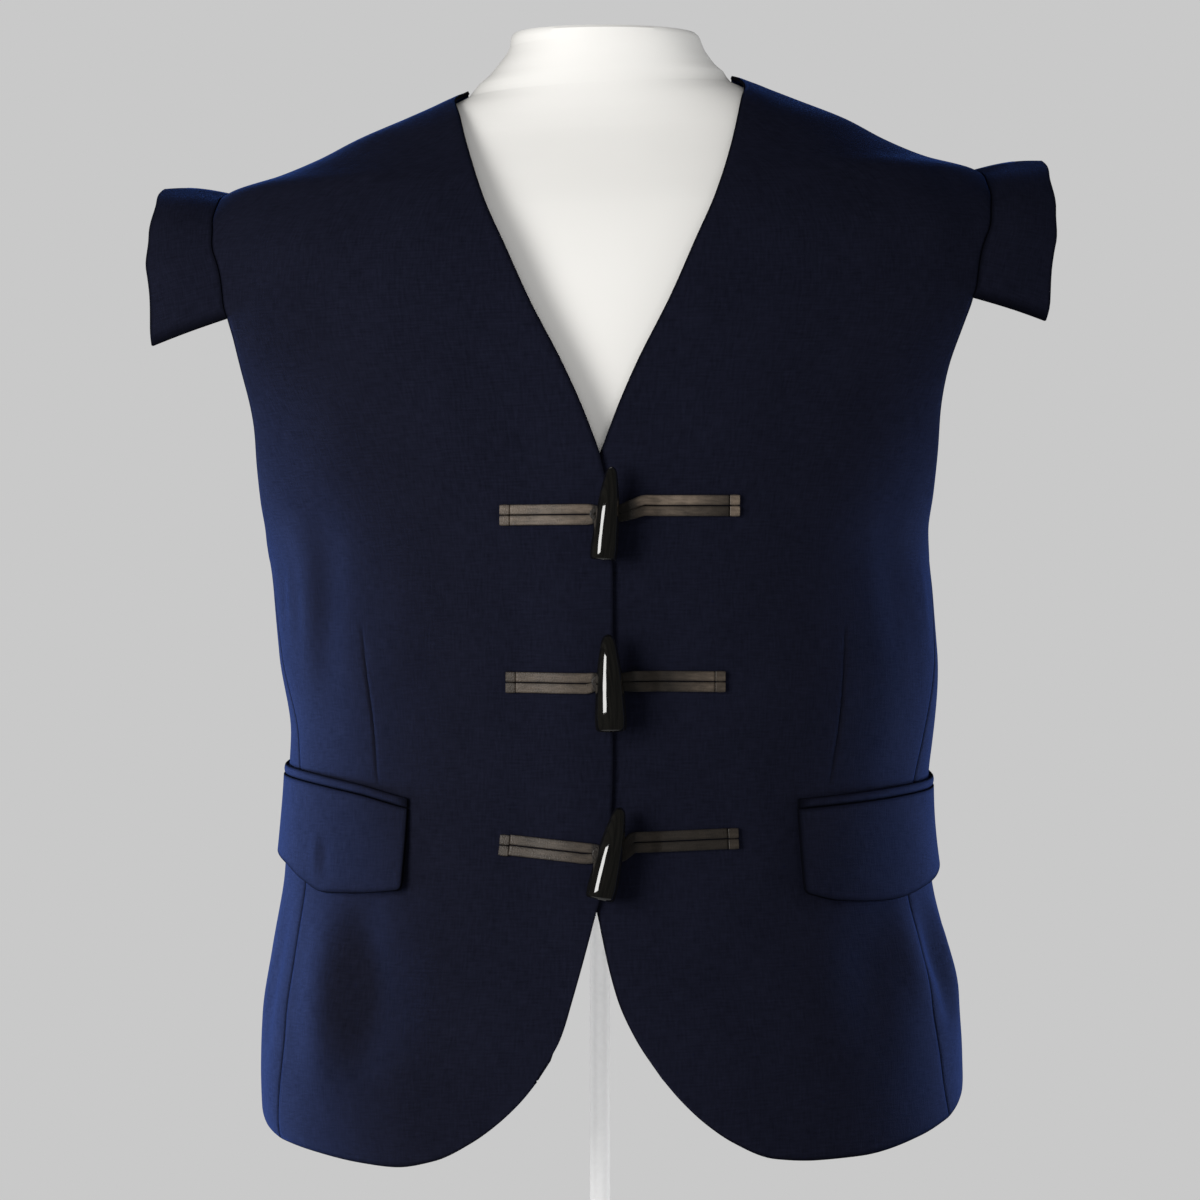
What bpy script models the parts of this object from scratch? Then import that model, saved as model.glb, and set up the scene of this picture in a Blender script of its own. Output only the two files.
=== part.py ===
"""A sleeveless jacobean waistcoat with shoulder wings and three toggles, on a limbless dress form.

Metres, +Z up. The front faces -Y and +X is the picture's right. The origin is the middle of the
stand base's underside. Heights in the tables are measured from the lowest point of the front hem.

The cloth lies on one envelope: rings of a superellipse, one for each row of CLOTH_RINGS. A place
on it is (around, height): around is 0 degrees at the centre front, 90 at the side and 180 at the
centre back. The shoulder seam runs along the ridge at 90 degrees. Every panel is a patch between
four edges drawn in those two values, and its wall is made on both sides of the envelope.
"""

import math
from collections import namedtuple

import bmesh
import bpy
import numpy as np
from mathutils import Vector

# Driving sizes
HEM_HEIGHT = 0.110
CLOTH = 0.0020
SEAM_GAP = 0.0003
LAID_GAP = 0.00095
RIM_INSET = 0.00017

# The lapping front: its rise, how far it laps, and where the rise fades out
LAP_RISE = 0.0027
LAP_WIDTH = 0.0076
LAP_REACH = 0.048
LAP_FADE = 0.034
LAP_BOTTOM = 0.085
LAP_BOTTOM_FADE = 0.050
LAP_TOP = 0.490
LAP_TOP_FADE = 0.080

V_HEIGHT = 0.404
HEM_CORNER_HEIGHT = 0.0493
NECK_HEIGHT = 0.6305
SHOULDER_TIP_HEIGHT = 0.5705

SEAM_ROWS = 11
LOWER_ARMHOLE_ROWS = 6
WING_ROWS = 5
LAP_ROWS = 12
LAP_EASE = 1.35
FRONT_COLUMNS = 14
SHOULDER_COLUMNS = 7
BACK_NECK_COLUMNS = 10
SIDE_COLUMNS = 5
WING_COLUMNS = 3
FLAP_ROWS = 3
FLAP_COLUMNS = 8

WING_THICKNESS = 0.0024
WING_BACK_DROP = 0.70
WING_BULGE = 0.0022
FLAP_THICKNESS = 0.0024
FLAP_HANG = 0.0008
FLAP_CORNER_LIFT = 0.0020
JET_THICKNESS = 0.0016
JET_HEIGHT = 0.0058

STRAP_THICKNESS = 0.0018
STRAND_WIDTH = 0.0057
STRAND_PITCH = 0.0062
PARTING_WIDTHS = (0.0051, 0.0042, 0.0033)
LOOP_WIDTH = 0.0030
LOOP_REACH = 0.0088
LOOP_HALF_HEIGHT = 0.0033
LOOP_TURNS = (130.0, 90.0, 60.0, 35.0, 15.0, 0.0)
STRAND_SHARES = (0.0, 0.25, 0.5, 0.7, 0.85, 1.0)
CLIMB_START = 0.031
CLIMB_END = 0.0145
TAB_LENGTH = 0.0058
TAB_WIDTH = 0.0128
TAB_THICKNESS = 0.0021
TOGGLE_BEND = 0.0022
TOGGLE_SIDES = 12

BASE_RADIUS = 0.145
BASE_HEIGHT = 0.016
BASE_EDGE = 0.003
BASE_BEVEL = 0.001
BASE_SIDES = 36
HUB_RADIUS = 0.022
HUB_HEIGHT = 0.034
POLE_RADIUS = 0.006
POLE_SIDES = 20
COLLAR_RADIUS = 0.028
COLLAR_HEIGHT = 0.008
COLLAR_EDGE = 0.004
COLLAR_SIDES = 24
FORM_SIDES = 28

CURVE_PLACES = 241
SETTLE_ROUNDS = 12
SHARP_DEGREES = 40

# Envelope of the cloth, upwards from the hem
Ring = namedtuple("Ring", "height half_width front_depth back_depth squareness")
CLOTH_RINGS = (
    Ring(-0.020, 0.2070, 0.1415, 0.1060, 2.40),
    Ring(0.045, 0.2085, 0.1380, 0.1060, 2.40),
    Ring(0.081, 0.2065, 0.1360, 0.1060, 2.35),
    Ring(0.117, 0.2000, 0.1340, 0.1050, 2.30),
    Ring(0.160, 0.1920, 0.1320, 0.1035, 2.30),
    Ring(0.205, 0.1900, 0.1290, 0.0990, 2.30),
    Ring(0.240, 0.1912, 0.1275, 0.0960, 2.30),
    Ring(0.290, 0.1960, 0.1295, 0.0985, 2.30),
    Ring(0.338, 0.1960, 0.1320, 0.1045, 2.30),
    Ring(0.360, 0.1995, 0.1325, 0.1070, 2.30),
    Ring(0.381, 0.2070, 0.1320, 0.1090, 2.30),
    Ring(0.405, 0.2165, 0.1305, 0.1110, 2.30),
    Ring(0.429, 0.2270, 0.1285, 0.1120, 2.30),
    Ring(0.453, 0.2405, 0.1255, 0.1120, 2.30),
    Ring(0.477, 0.2530, 0.1215, 0.1105, 2.30),
    Ring(0.501, 0.2600, 0.1160, 0.1080, 2.30),
    Ring(0.530, 0.2595, 0.1075, 0.1020, 2.30),
    Ring(0.548, 0.2495, 0.0995, 0.0960, 2.30),
    Ring(0.562, 0.2345, 0.0910, 0.0890, 2.30),
    Ring(0.5705, 0.2220, 0.0852, 0.0841, 2.30),
    Ring(0.5785, 0.1950, 0.0796, 0.0786, 2.30),
    Ring(0.5885, 0.1710, 0.0725, 0.0719, 2.30),
    Ring(0.6015, 0.1460, 0.0635, 0.0648, 2.30),
    Ring(0.6135, 0.1165, 0.0560, 0.0605, 2.30),
    Ring(0.6212, 0.0980, 0.0513, 0.0577, 2.30),
    Ring(0.6305, 0.0792, 0.0455, 0.0535, 2.30),
    Ring(0.640, 0.0750, 0.0420, 0.0500, 2.30),
)

# Surface of the dress form, upwards from its flat underside to the flat top of its neck
FORM_RINGS = (
    Ring(0.1700, 0.1540, 0.0940, 0.0720, 2.30),
    Ring(0.1715, 0.1600, 0.0995, 0.0775, 2.30),
    Ring(0.1760, 0.1635, 0.1025, 0.0805, 2.30),
    Ring(0.2050, 0.1635, 0.1025, 0.0810, 2.30),
    Ring(0.2430, 0.1610, 0.1035, 0.0800, 2.30),
    Ring(0.2850, 0.1680, 0.1090, 0.0850, 2.30),
    Ring(0.3250, 0.1760, 0.1160, 0.0920, 2.30),
    Ring(0.3650, 0.1815, 0.1195, 0.0985, 2.30),
    Ring(0.4050, 0.1890, 0.1165, 0.1020, 2.30),
    Ring(0.4450, 0.1970, 0.1090, 0.1020, 2.30),
    Ring(0.4800, 0.2030, 0.1015, 0.0990, 2.30),
    Ring(0.5100, 0.2065, 0.0940, 0.0945, 2.30),
    Ring(0.5350, 0.2080, 0.0862, 0.0880, 2.30),
    Ring(0.5530, 0.2065, 0.0790, 0.0820, 2.30),
    Ring(0.5615, 0.2035, 0.0748, 0.0778, 2.25),
    Ring(0.5695, 0.1985, 0.0705, 0.0732, 2.20),
    Ring(0.5755, 0.1930, 0.0672, 0.0697, 2.20),
    Ring(0.5865, 0.1690, 0.0612, 0.0637, 2.20),
    Ring(0.5995, 0.1440, 0.0545, 0.0560, 2.20),
    Ring(0.6115, 0.1140, 0.0500, 0.0474, 2.20),
    Ring(0.6196, 0.0940, 0.0479, 0.0429, 2.20),
    Ring(0.6268, 0.0785, 0.0465, 0.0420, 2.15),
    Ring(0.6335, 0.0735, 0.0460, 0.0430, 2.10),
    Ring(0.6385, 0.0676, 0.0460, 0.0450, 2.10),
    Ring(0.6430, 0.0640, 0.0461, 0.0465, 2.10),
    Ring(0.6480, 0.0602, 0.0465, 0.0475, 2.10),
    Ring(0.6530, 0.0576, 0.0468, 0.0478, 2.10),
    Ring(0.6585, 0.0562, 0.0470, 0.0480, 2.10),
    Ring(0.6600, 0.0548, 0.0456, 0.0468, 2.10),
)

# How far the form's neck leans towards the picture's right
Lean = namedtuple("Lean", "height shift")
NECK_LEAN = (
    Lean(0.630, 0.0),
    Lean(0.645, 0.0024),
    Lean(0.653, 0.0036),
    Lean(0.660, 0.0028),
)

# Edges of a front as the picture's plane shows them: own_side is the distance from the centre
# line towards the front's own side, so it is negative where the fronts lap.
Place = namedtuple("Place", "own_side height")
OVER_EDGE = (
    Place(0.0368, HEM_CORNER_HEIGHT),
    Place(0.0226, 0.0720),
    Place(0.0153, 0.0946),
    Place(0.0028, 0.1400),
    Place(-0.0045, 0.1700),
    Place(-LAP_WIDTH, 0.2300),
    Place(-LAP_WIDTH, 0.3300),
    Place(-0.0040, 0.3850),
    Place(0.0, V_HEIGHT),
)
UNDER_EDGE = (
    Place(0.0350, HEM_CORNER_HEIGHT),
    Place(0.0204, 0.0720),
    Place(0.0102, 0.0946),
    Place(-0.0006, 0.1400),
    Place(-0.0060, 0.1700),
    Place(-LAP_WIDTH, 0.2300),
    Place(-LAP_WIDTH, 0.3300),
    Place(-0.0040, 0.3850),
    Place(0.0, V_HEIGHT),
)
NECKLINE = (
    Place(0.0, V_HEIGHT),
    Place(0.0115, 0.434),
    Place(0.0217, 0.457),
    Place(0.0405, 0.494),
    Place(0.0555, 0.528),
    Place(0.0665, 0.553),
    Place(0.0775, 0.588),
    Place(0.0832, 0.612),
    Place(0.0857, 0.6215),
    Place(0.0792, NECK_HEIGHT),
)
LOBE = (
    Place(0.0464, 0.0380),
    Place(0.0589, 0.0267),
    Place(0.0747, 0.0154),
    Place(0.0974, 0.0040),
    Place(0.1200, 0.0),
    Place(0.1430, 0.0018),
    Place(0.1780, 0.0080),
)
UNDER_LOBE = (
    Place(0.0464, 0.0348),
    Place(0.0589, 0.0221),
    Place(0.0747, 0.0108),
    Place(0.0974, 0.0014),
    Place(0.1200, -0.0006),
    Place(0.1430, 0.0),
    Place(0.1780, 0.0070),
)

# Edges that run round the side, in degrees around and height
Turn = namedtuple("Turn", "around height")
FRONT_SEAM = (
    Turn(68.0, 0.0125),
    Turn(63.5, 0.0800),
    Turn(63.5, 0.1500),
    Turn(72.0, 0.2400),
    Turn(79.5, 0.3000),
    Turn(84.5, 0.3460),
)
FRONT_ARMHOLE = (
    Turn(84.5, 0.346),
    Turn(78.0, 0.360),
    Turn(71.3, 0.381),
    Turn(65.2, 0.405),
    Turn(60.0, 0.429),
    Turn(56.3, 0.453),
    Turn(54.8, 0.477),
    Turn(54.9, 0.491),
)
FRONT_WING_SEAM = (
    Turn(54.9, 0.491),
    Turn(56.6, 0.515),
    Turn(59.6, 0.532),
    Turn(64.4, 0.5465),
    Turn(74.6, 0.5615),
    Turn(90.0, SHOULDER_TIP_HEIGHT),
)
BACK_SEAM = (
    Turn(112.0, 0.0815),
    Turn(110.0, 0.1700),
    Turn(111.0, 0.2400),
    Turn(112.0, 0.3000),
    Turn(112.0, 0.3490),
)
BACK_ARMHOLE = (
    Turn(112.0, 0.349),
    Turn(112.8, 0.375),
    Turn(115.0, 0.410),
    Turn(119.0, 0.450),
    Turn(121.8, 0.480),
    Turn(122.0, 0.512),
)
BACK_WING_SEAM = (
    Turn(122.0, 0.512),
    Turn(119.4, 0.531),
    Turn(115.0, 0.5455),
    Turn(105.0, 0.5615),
    Turn(90.0, SHOULDER_TIP_HEIGHT),
)
SIDE_HEM = (
    Turn(68.0, 0.0125),
    Turn(80.0, 0.0205),
    Turn(90.0, 0.0300),
    Turn(101.0, 0.0520),
    Turn(112.0, 0.0815),
)
UNDERARM = (
    Turn(84.5, 0.346),
    Turn(97.0, 0.337),
    Turn(112.0, 0.349),
)
BACK_HEM = (
    Turn(112.0, 0.0815),
    Turn(125.0, 0.1010),
    Turn(140.0, 0.1150),
    Turn(160.0, 0.1265),
    Turn(180.0, 0.1300),
)
BACK_NECK = (
    Turn(90.0, NECK_HEIGHT),
    Turn(121.0, 0.6250),
    Turn(141.0, 0.6200),
    Turn(160.0, 0.6155),
    Turn(180.0, 0.6140),
)
FLAP_TOPS = {
    "left": (Turn(32.4, 0.2015), Turn(46.0, 0.2095), Turn(70.0, 0.2162), Turn(98.0, 0.2190)),
    "right": (Turn(32.4, 0.2012), Turn(64.0, 0.2075), Turn(98.0, 0.2130)),
}
FLAP_BOTTOMS = {
    "left": (
        Turn(32.6, 0.1546),
        Turn(42.0, 0.1522),
        Turn(53.0, 0.1512),
        Turn(62.0, 0.1572),
        Turn(72.0, 0.1655),
        Turn(96.0, 0.1745),
    ),
    "right": (
        Turn(32.6, 0.1530),
        Turn(40.0, 0.1480),
        Turn(52.0, 0.1465),
        Turn(70.0, 0.1530),
        Turn(96.0, 0.1680),
    ),
}

# The wing's outer edge, from its ends up to the shoulder tip, as steps from the armhole
Reach = namedtuple("Reach", "share out forward up")
WING_REACH = (
    Reach(0.0, 0.0443, -0.0090, -0.0145),
    Reach(0.25, 0.0421, -0.0085, -0.0095),
    Reach(0.5, 0.0389, -0.0070, -0.0055),
    Reach(0.75, 0.0382, -0.0040, 0.0),
    Reach(1.0, 0.0415, 0.0, 0.0045),
)

# Soft folds of the cloth: a run from one place to another, positive depth for a ridge
Fold = namedtuple("Fold", "side around_1 height_1 around_2 height_2 half_width depth")
FOLDS = (
    Fold("left", 48.0, 0.385, 55.0, 0.255, 0.014, -0.0022),
    Fold("left", 57.0, 0.370, 62.0, 0.265, 0.013, 0.0020),
    Fold("left", 53.0, 0.150, 49.0, 0.045, 0.020, 0.0050),
    Fold("left", 36.0, 0.130, 32.0, 0.060, 0.022, -0.0028),
    Fold("left", 72.0, 0.150, 76.0, 0.050, 0.014, -0.0024),
    Fold("right", 55.0, 0.375, 60.0, 0.270, 0.015, -0.0018),
    Fold("right", 68.0, 0.140, 73.0, 0.060, 0.012, -0.0032),
    Fold("right", 77.0, 0.150, 80.0, 0.060, 0.012, 0.0030),
    Fold("right", 48.0, 0.140, 42.0, 0.050, 0.020, -0.0022),
    Fold("right", 58.0, 0.150, 61.0, 0.075, 0.015, 0.0026),
    Fold("both", 62.0, 0.560, 46.0, 0.500, 0.016, -0.0020),
    Fold("both", 104.0, 0.300, 100.0, 0.130, 0.016, 0.0024),
    Fold("both", 118.0, 0.340, 122.0, 0.200, 0.016, -0.0022),
    Fold("both", 134.0, 0.420, 128.0, 0.260, 0.020, 0.0024),
    Fold("both", 150.0, 0.300, 146.0, 0.160, 0.022, 0.0026),
    Fold("both", 168.0, 0.330, 166.0, 0.170, 0.018, -0.0022),
)
DEGREE_LENGTH = 0.0030
FOLD_OVERRUN = 0.15
FOLD_FADE = 1.6

# How the whole hangs a little askew: the rise for each metre towards the picture's right, and how
# far the sides sway that way
Sit = namedtuple("Sit", "height rise sway")
SITS = (
    Sit(-0.020, 0.019, 0.0110),
    Sit(0.0, 0.019, 0.0110),
    Sit(0.020, 0.040, 0.0080),
    Sit(0.030, 0.046, 0.0070),
    Sit(0.060, 0.040, 0.0062),
    Sit(0.120, 0.012, 0.0050),
    Sit(0.150, 0.0, 0.0050),
    Sit(0.215, 0.0, 0.0055),
    Sit(0.249, 0.0, 0.0080),
    Sit(0.285, 0.0, 0.0055),
    Sit(0.325, 0.0, 0.0020),
    Sit(0.365, 0.010, -0.0018),
    Sit(0.450, 0.028, -0.0018),
    Sit(0.489, 0.028, 0.0),
    Sit(0.519, 0.029, 0.0002),
    Sit(0.545, 0.030, 0.0008),
    Sit(0.575, 0.031, 0.0010),
    Sit(0.603, 0.046, 0.0008),
    Sit(0.629, 0.058, 0.0),
    Sit(0.660, 0.0, 0.0),
)
SWAY_REACH = 0.20
FORM_SITS_ABOVE = 0.325

# Fastenings from the top down: the toggle's middle, its lean towards the picture's right, and
# where each strap ends and where its strands part
Fastening = namedtuple(
    "Fastening",
    "x height lean left_x left_height left_part left_part_height"
    " right_x right_height right_part right_part_height",
)
FASTENINGS = (
    Fastening(0.0042, 0.3696, 5.5, -0.0566, 0.3698, -0.0080, 0.3695, 0.0792, 0.3738, 0.0260, 0.3742),
    Fastening(0.0053, 0.2750, -1.8, -0.0538, 0.2743, -0.0080, 0.2738, 0.0702, 0.2746, 0.0210, 0.2752),
    Fastening(0.0056, 0.1767, 12.8, -0.0572, 0.1815, -0.0080, 0.1768, 0.0775, 0.1849, 0.0190, 0.1829),
)

# Each horn's length and how stout it is, from the top down
Horn = namedtuple("Horn", "length stoutness")
HORNS = (Horn(0.0530, 0.94), Horn(0.0548, 1.10), Horn(0.0534, 1.05))

# A horn's radius along its length, from the flat wide end to the tip
Girth = namedtuple("Girth", "share radius")
HORN_GIRTHS = (
    Girth(0.0, 0.0070),
    Girth(0.02, 0.0079),
    Girth(0.12, 0.0082),
    Girth(0.30, 0.0077),
    Girth(0.50, 0.0070),
    Girth(0.70, 0.0058),
    Girth(0.85, 0.0044),
    Girth(0.96, 0.0030),
    Girth(1.0, 0.0014),
)

Finish = namedtuple("Finish", "colour roughness metallic")
FINISHES = {
    "wool": Finish((0.012, 0.016, 0.045, 1.0), 0.85, 0.0),
    "leather": Finish((0.085, 0.066, 0.050, 1.0), 0.50, 0.0),
    "horn": Finish((0.010, 0.009, 0.007, 1.0), 0.12, 0.0),
    "form": Finish((0.850, 0.840, 0.800, 1.0), 0.60, 0.0),
    "stand": Finish((0.560, 0.560, 0.560, 1.0), 0.35, 0.0),
}


def clear_scene():
    for thing in list(bpy.data.objects):
        bpy.data.objects.remove(thing, do_unlink=True)


def make_materials():
    made = {}
    for name, finish in FINISHES.items():
        material = bpy.data.materials.new(name)
        material.use_nodes = True
        shader = material.node_tree.nodes["Principled BSDF"]
        shader.inputs["Base Color"].default_value = finish.colour
        shader.inputs["Roughness"].default_value = finish.roughness
        shader.inputs["Metallic"].default_value = finish.metallic
        material.diffuse_color = finish.colour
        made[name] = material
    return made


def smooth(knots, values, at):
    """Values between knots, by a cubic whose slopes keep it from overshooting them."""
    knots = np.asarray(knots, float)
    values = np.asarray(values, float)
    at = np.clip(np.asarray(at, float), knots[0], knots[-1])
    step = np.diff(knots)
    rise = np.diff(values) / step
    slope = np.zeros(len(knots))
    slope[0] = rise[0]
    slope[-1] = rise[-1]
    same_way = rise[:-1] * rise[1:] > 0
    before = 2 * step[1:] + step[:-1]
    after = step[1:] + 2 * step[:-1]
    safe_left = np.where(same_way, rise[:-1], 1.0)
    safe_right = np.where(same_way, rise[1:], 1.0)
    mean = (before + after) / (before / safe_left + after / safe_right)
    slope[1:-1] = np.where(same_way, mean, 0.0)
    i = np.clip(np.searchsorted(knots, at, side="right") - 1, 0, len(step) - 1)
    t = (at - knots[i]) / step[i]
    start = (1 + 2 * t) * (1 - t) ** 2 * values[i] + t * (1 - t) ** 2 * step[i] * slope[i]
    end = t**2 * (3 - 2 * t) * values[i + 1] + t**2 * (t - 1) * step[i] * slope[i + 1]
    return start + end


def column(rows, name):
    return [getattr(row, name) for row in rows]


def ring_at(rings, height):
    heights = column(rings, "height")
    names = ("half_width", "front_depth", "back_depth", "squareness")
    return [smooth(heights, column(rings, name), height) for name in names]


def on_ring(half_width, front_depth, back_depth, squareness, around):
    """Plane place on a superellipse whose front and back halves have their own depths."""
    turn = np.radians(around)
    across = np.sin(turn)
    ahead = np.cos(turn)
    power = 2 / squareness
    x = half_width * np.sign(across) * np.abs(across) ** power
    depth = np.where(ahead > 0, front_depth, back_depth)
    y = -depth * np.sign(ahead) * np.abs(ahead) ** power
    return x, y


def envelope(around, height):
    x, y = on_ring(*ring_at(CLOTH_RINGS, height), around)
    return np.stack(np.broadcast_arrays(x, y, height), axis=-1)


def outward(around, height):
    """Unit normals of the envelope."""
    turn = 0.25
    lift = 0.0005
    height = np.clip(height, CLOTH_RINGS[0].height + lift, CLOTH_RINGS[-1].height - lift)
    sideways = envelope(around + turn, height) - envelope(around - turn, height)
    upwards = envelope(around, height + lift) - envelope(around, height - lift)
    normal = np.cross(sideways, upwards)
    return normal / np.linalg.norm(normal, axis=-1, keepdims=True)


def around_at(own_side, height):
    """Degrees around of a place that the front view shows this far from the centre line."""
    half_width, _, _, squareness = ring_at(CLOTH_RINGS, height)
    share = np.clip(np.abs(own_side) / half_width, 0.0, 1.0)
    return np.sign(own_side) * np.degrees(np.arcsin(share ** (squareness / 2)))


def relief(around, height, side):
    """How far the folds lift the cloth off the envelope."""
    lift = np.zeros(np.broadcast(around, height).shape)
    crossed = around > 180
    turned = np.where(crossed, 360 - around, around)
    other = {"left": "right", "right": "left"}[side]
    for fold in FOLDS:
        here = fold.side == "both" or fold.side == side
        there = fold.side == "both" or fold.side == other
        active = np.where(crossed, there, here)
        run = np.array([(fold.around_2 - fold.around_1) * DEGREE_LENGTH, fold.height_2 - fold.height_1])
        along_x = (turned - fold.around_1) * DEGREE_LENGTH
        along_z = height - fold.height_1
        share = (along_x * run[0] + along_z * run[1]) / (run @ run)
        apart = np.hypot(along_x - share * run[0], along_z - share * run[1])
        fade = np.clip(FOLD_FADE * (0.5 + FOLD_OVERRUN - np.abs(share - 0.5)), 0.0, 1.0)
        bell = np.exp(-((apart / fold.half_width) ** 2))
        lift = lift + active * fold.depth * fade**2 * (3 - 2 * fade) * bell
    return lift


def lap(around, height):
    """How far the lapping front stands off the one that it covers."""
    own_side = envelope(around, height)[..., 0]
    towards_centre = np.clip((LAP_REACH - own_side) / LAP_FADE, 0.0, 1.0)
    above_gap = np.clip((height - LAP_BOTTOM) / LAP_BOTTOM_FADE, 0.0, 1.0)
    below_neck = np.clip((LAP_TOP - height) / LAP_TOP_FADE, 0.0, 1.0)
    share = towards_centre * above_gap * below_neck
    return LAP_RISE * share**2 * (3 - 2 * share)


def dense(places):
    """A close row of places on a smooth curve through the given ones."""
    places = np.array(places, float)
    steps = np.hypot(np.diff(places[:, 0]), np.diff(places[:, 1]))
    run = np.concatenate([[0.0], np.cumsum(steps)])
    at = np.linspace(0.0, run[-1], CURVE_PLACES)
    return np.stack([smooth(run, places[:, 0], at), smooth(run, places[:, 1], at)], axis=-1)


def from_front_view(places):
    """A smooth edge drawn in the picture's plane, as places around and up."""
    curve = dense(places)
    return np.stack([around_at(curve[:, 0], curve[:, 1]), curve[:, 1]], axis=-1)


def from_turns(turns):
    """A smooth edge drawn in degrees and heights."""
    scaled = [(turn.around * DEGREE_LENGTH, turn.height) for turn in turns]
    curve = dense(scaled)
    curve[:, 0] /= DEGREE_LENGTH
    return curve


def spaced(curve, count, ease=1.0):
    """Places along a curve at equal distances on the cloth, or closer at its start where ease > 1."""
    points = envelope(curve[:, 0], curve[:, 1])
    steps = np.linalg.norm(np.diff(points, axis=0), axis=1)
    run = np.concatenate([[0.0], np.cumsum(steps)])
    at = run[-1] * np.linspace(0.0, 1.0, count + 1) ** ease
    return np.stack([np.interp(at, run, curve[:, 0]), np.interp(at, run, curve[:, 1])], axis=-1)


def joined(*parts):
    """Edges that follow each other, with their shared places kept once."""
    return np.concatenate([parts[0]] + [part[1:] for part in parts[1:]])


def mirrored_turns(edge):
    return np.stack([360 - edge[:, 0], edge[:, 1]], axis=-1)


def envelope_level(points):
    """Zero on the envelope, negative inside it and positive outside."""
    half_width, front_depth, back_depth, squareness = ring_at(CLOTH_RINGS, points[..., 2])
    depth = np.where(points[..., 1] < 0, front_depth, back_depth)
    across = np.abs(points[..., 0] / half_width) ** squareness
    ahead = np.abs(points[..., 1] / depth) ** squareness
    return (across + ahead) ** (1 / squareness) - 1


def settled(points):
    """Nearby points brought onto the envelope, square to it, as places around and up."""
    points = points.copy()
    probe = 0.0002
    for _ in range(SETTLE_ROUNDS):
        slope = np.zeros(points.shape)
        for axis in range(3):
            step = np.zeros(3)
            step[axis] = probe
            rise = envelope_level(points + step) - envelope_level(points - step)
            slope[..., axis] = rise / (2 * probe)
        size = (slope**2).sum(axis=-1, keepdims=True)
        points -= envelope_level(points)[..., None] * slope / size
    half_width, front_depth, back_depth, squareness = ring_at(CLOTH_RINGS, points[..., 2])
    x = points[..., 0]
    y = points[..., 1]
    depth = np.where(y < 0, front_depth, back_depth)
    across = np.sign(x) * np.abs(x / half_width) ** (squareness / 2)
    ahead = -np.sign(y) * np.abs(y / depth) ** (squareness / 2)
    around = np.degrees(np.arctan2(across, ahead))
    around = np.where((x < 0) & (y > 0), around + 360, around)
    return np.stack([around, points[..., 2]], axis=-1)


def patch(bottom, top, start, end):
    """Rows of places between four edges: start and end run upwards, bottom and top from start to end."""
    u = np.linspace(0.0, 1.0, len(bottom))[None, :, None]
    v = np.linspace(0.0, 1.0, len(start))[:, None, None]
    edges = [envelope(edge[:, 0], edge[:, 1]) for edge in (bottom, top, start, end)]
    low_edge, high_edge, first_edge, last_edge = edges
    between_rows = (1 - v) * low_edge[None] + v * high_edge[None]
    between_columns = (1 - u) * first_edge[:, None] + u * last_edge[:, None]
    low = (1 - u) * low_edge[0] + u * low_edge[-1]
    high = (1 - u) * high_edge[0] + u * high_edge[-1]
    spread = between_rows + between_columns - (1 - v) * low - v * high
    places = np.empty(spread.shape[:2] + (2,))
    places[1:-1, 1:-1] = settled(spread[1:-1, 1:-1])
    places[0] = bottom
    places[-1] = top
    places[:, 0] = start
    places[:, -1] = end
    return places


def inset_rim(points):
    """Moves a panel's rim in along the cloth, square to the rim, so that neighbours stay apart."""
    moved = points.copy()
    for grid, target in ((points, moved), (points.swapaxes(0, 1), moved.swapaxes(0, 1))):
        for edge, inner in ((0, 1), (-1, -2)):
            along = np.gradient(grid[edge], axis=0)
            along /= np.linalg.norm(along, axis=1, keepdims=True)
            inwards = grid[inner] - grid[edge]
            inwards -= (inwards * along).sum(axis=1, keepdims=True) * along
            inwards /= np.linalg.norm(inwards, axis=1, keepdims=True)
            target[edge] += inwards * RIM_INSET
    return moved


def straighten_top(points):
    """Puts every second place of the top row midway between its neighbours."""
    points[-1, 1:-1:2] = (points[-1, 0:-2:2] + points[-1, 2::2]) / 2


def wall(name, middle, normals, thickness, material, mirror):
    """A closed wall of this thickness on both sides of a grid of places."""
    if mirror:
        middle = middle * np.array([-1.0, 1.0, 1.0])
        normals = normals * np.array([-1.0, 1.0, 1.0])
    rows, columns = middle.shape[:2]
    shape = bmesh.new()
    tag = shape.verts.layers.int.new("place")
    grid = []
    for i in range(rows):
        line = []
        for j in range(columns):
            vert = shape.verts.new(middle[i, j])
            vert[tag] = i * columns + j
            line.append(vert)
        grid.append(line)
    for i in range(rows - 1):
        for j in range(columns - 1):
            corners = [grid[i][j], grid[i][j + 1], grid[i + 1][j + 1], grid[i + 1][j]]
            if mirror:
                corners.reverse()
            shape.faces.new(corners)
    inner = list(shape.verts)
    raised = bmesh.ops.extrude_face_region(shape, geom=shape.faces[:], use_keep_orig=True)
    outer = [item for item in raised["geom"] if isinstance(item, bmesh.types.BMVert)]
    flat_normals = normals.reshape(-1, 3)
    for vert in outer:
        vert.co += Vector(flat_normals[vert[tag]]) * (thickness / 2)
    for vert in inner:
        vert.co -= Vector(flat_normals[vert[tag]]) * (thickness / 2)
    bmesh.ops.recalc_face_normals(shape, faces=shape.faces[:])
    return to_object(name, shape, material)


def to_object(name, shape, material):
    mesh = bpy.data.meshes.new(name)
    shape.to_mesh(mesh)
    shape.free()
    mesh.shade_smooth()
    mesh.set_sharp_from_angle(angle=math.radians(SHARP_DEGREES))
    mesh.materials.append(material)
    thing = bpy.data.objects.new(name, mesh)
    bpy.context.collection.objects.link(thing)
    return thing


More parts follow.
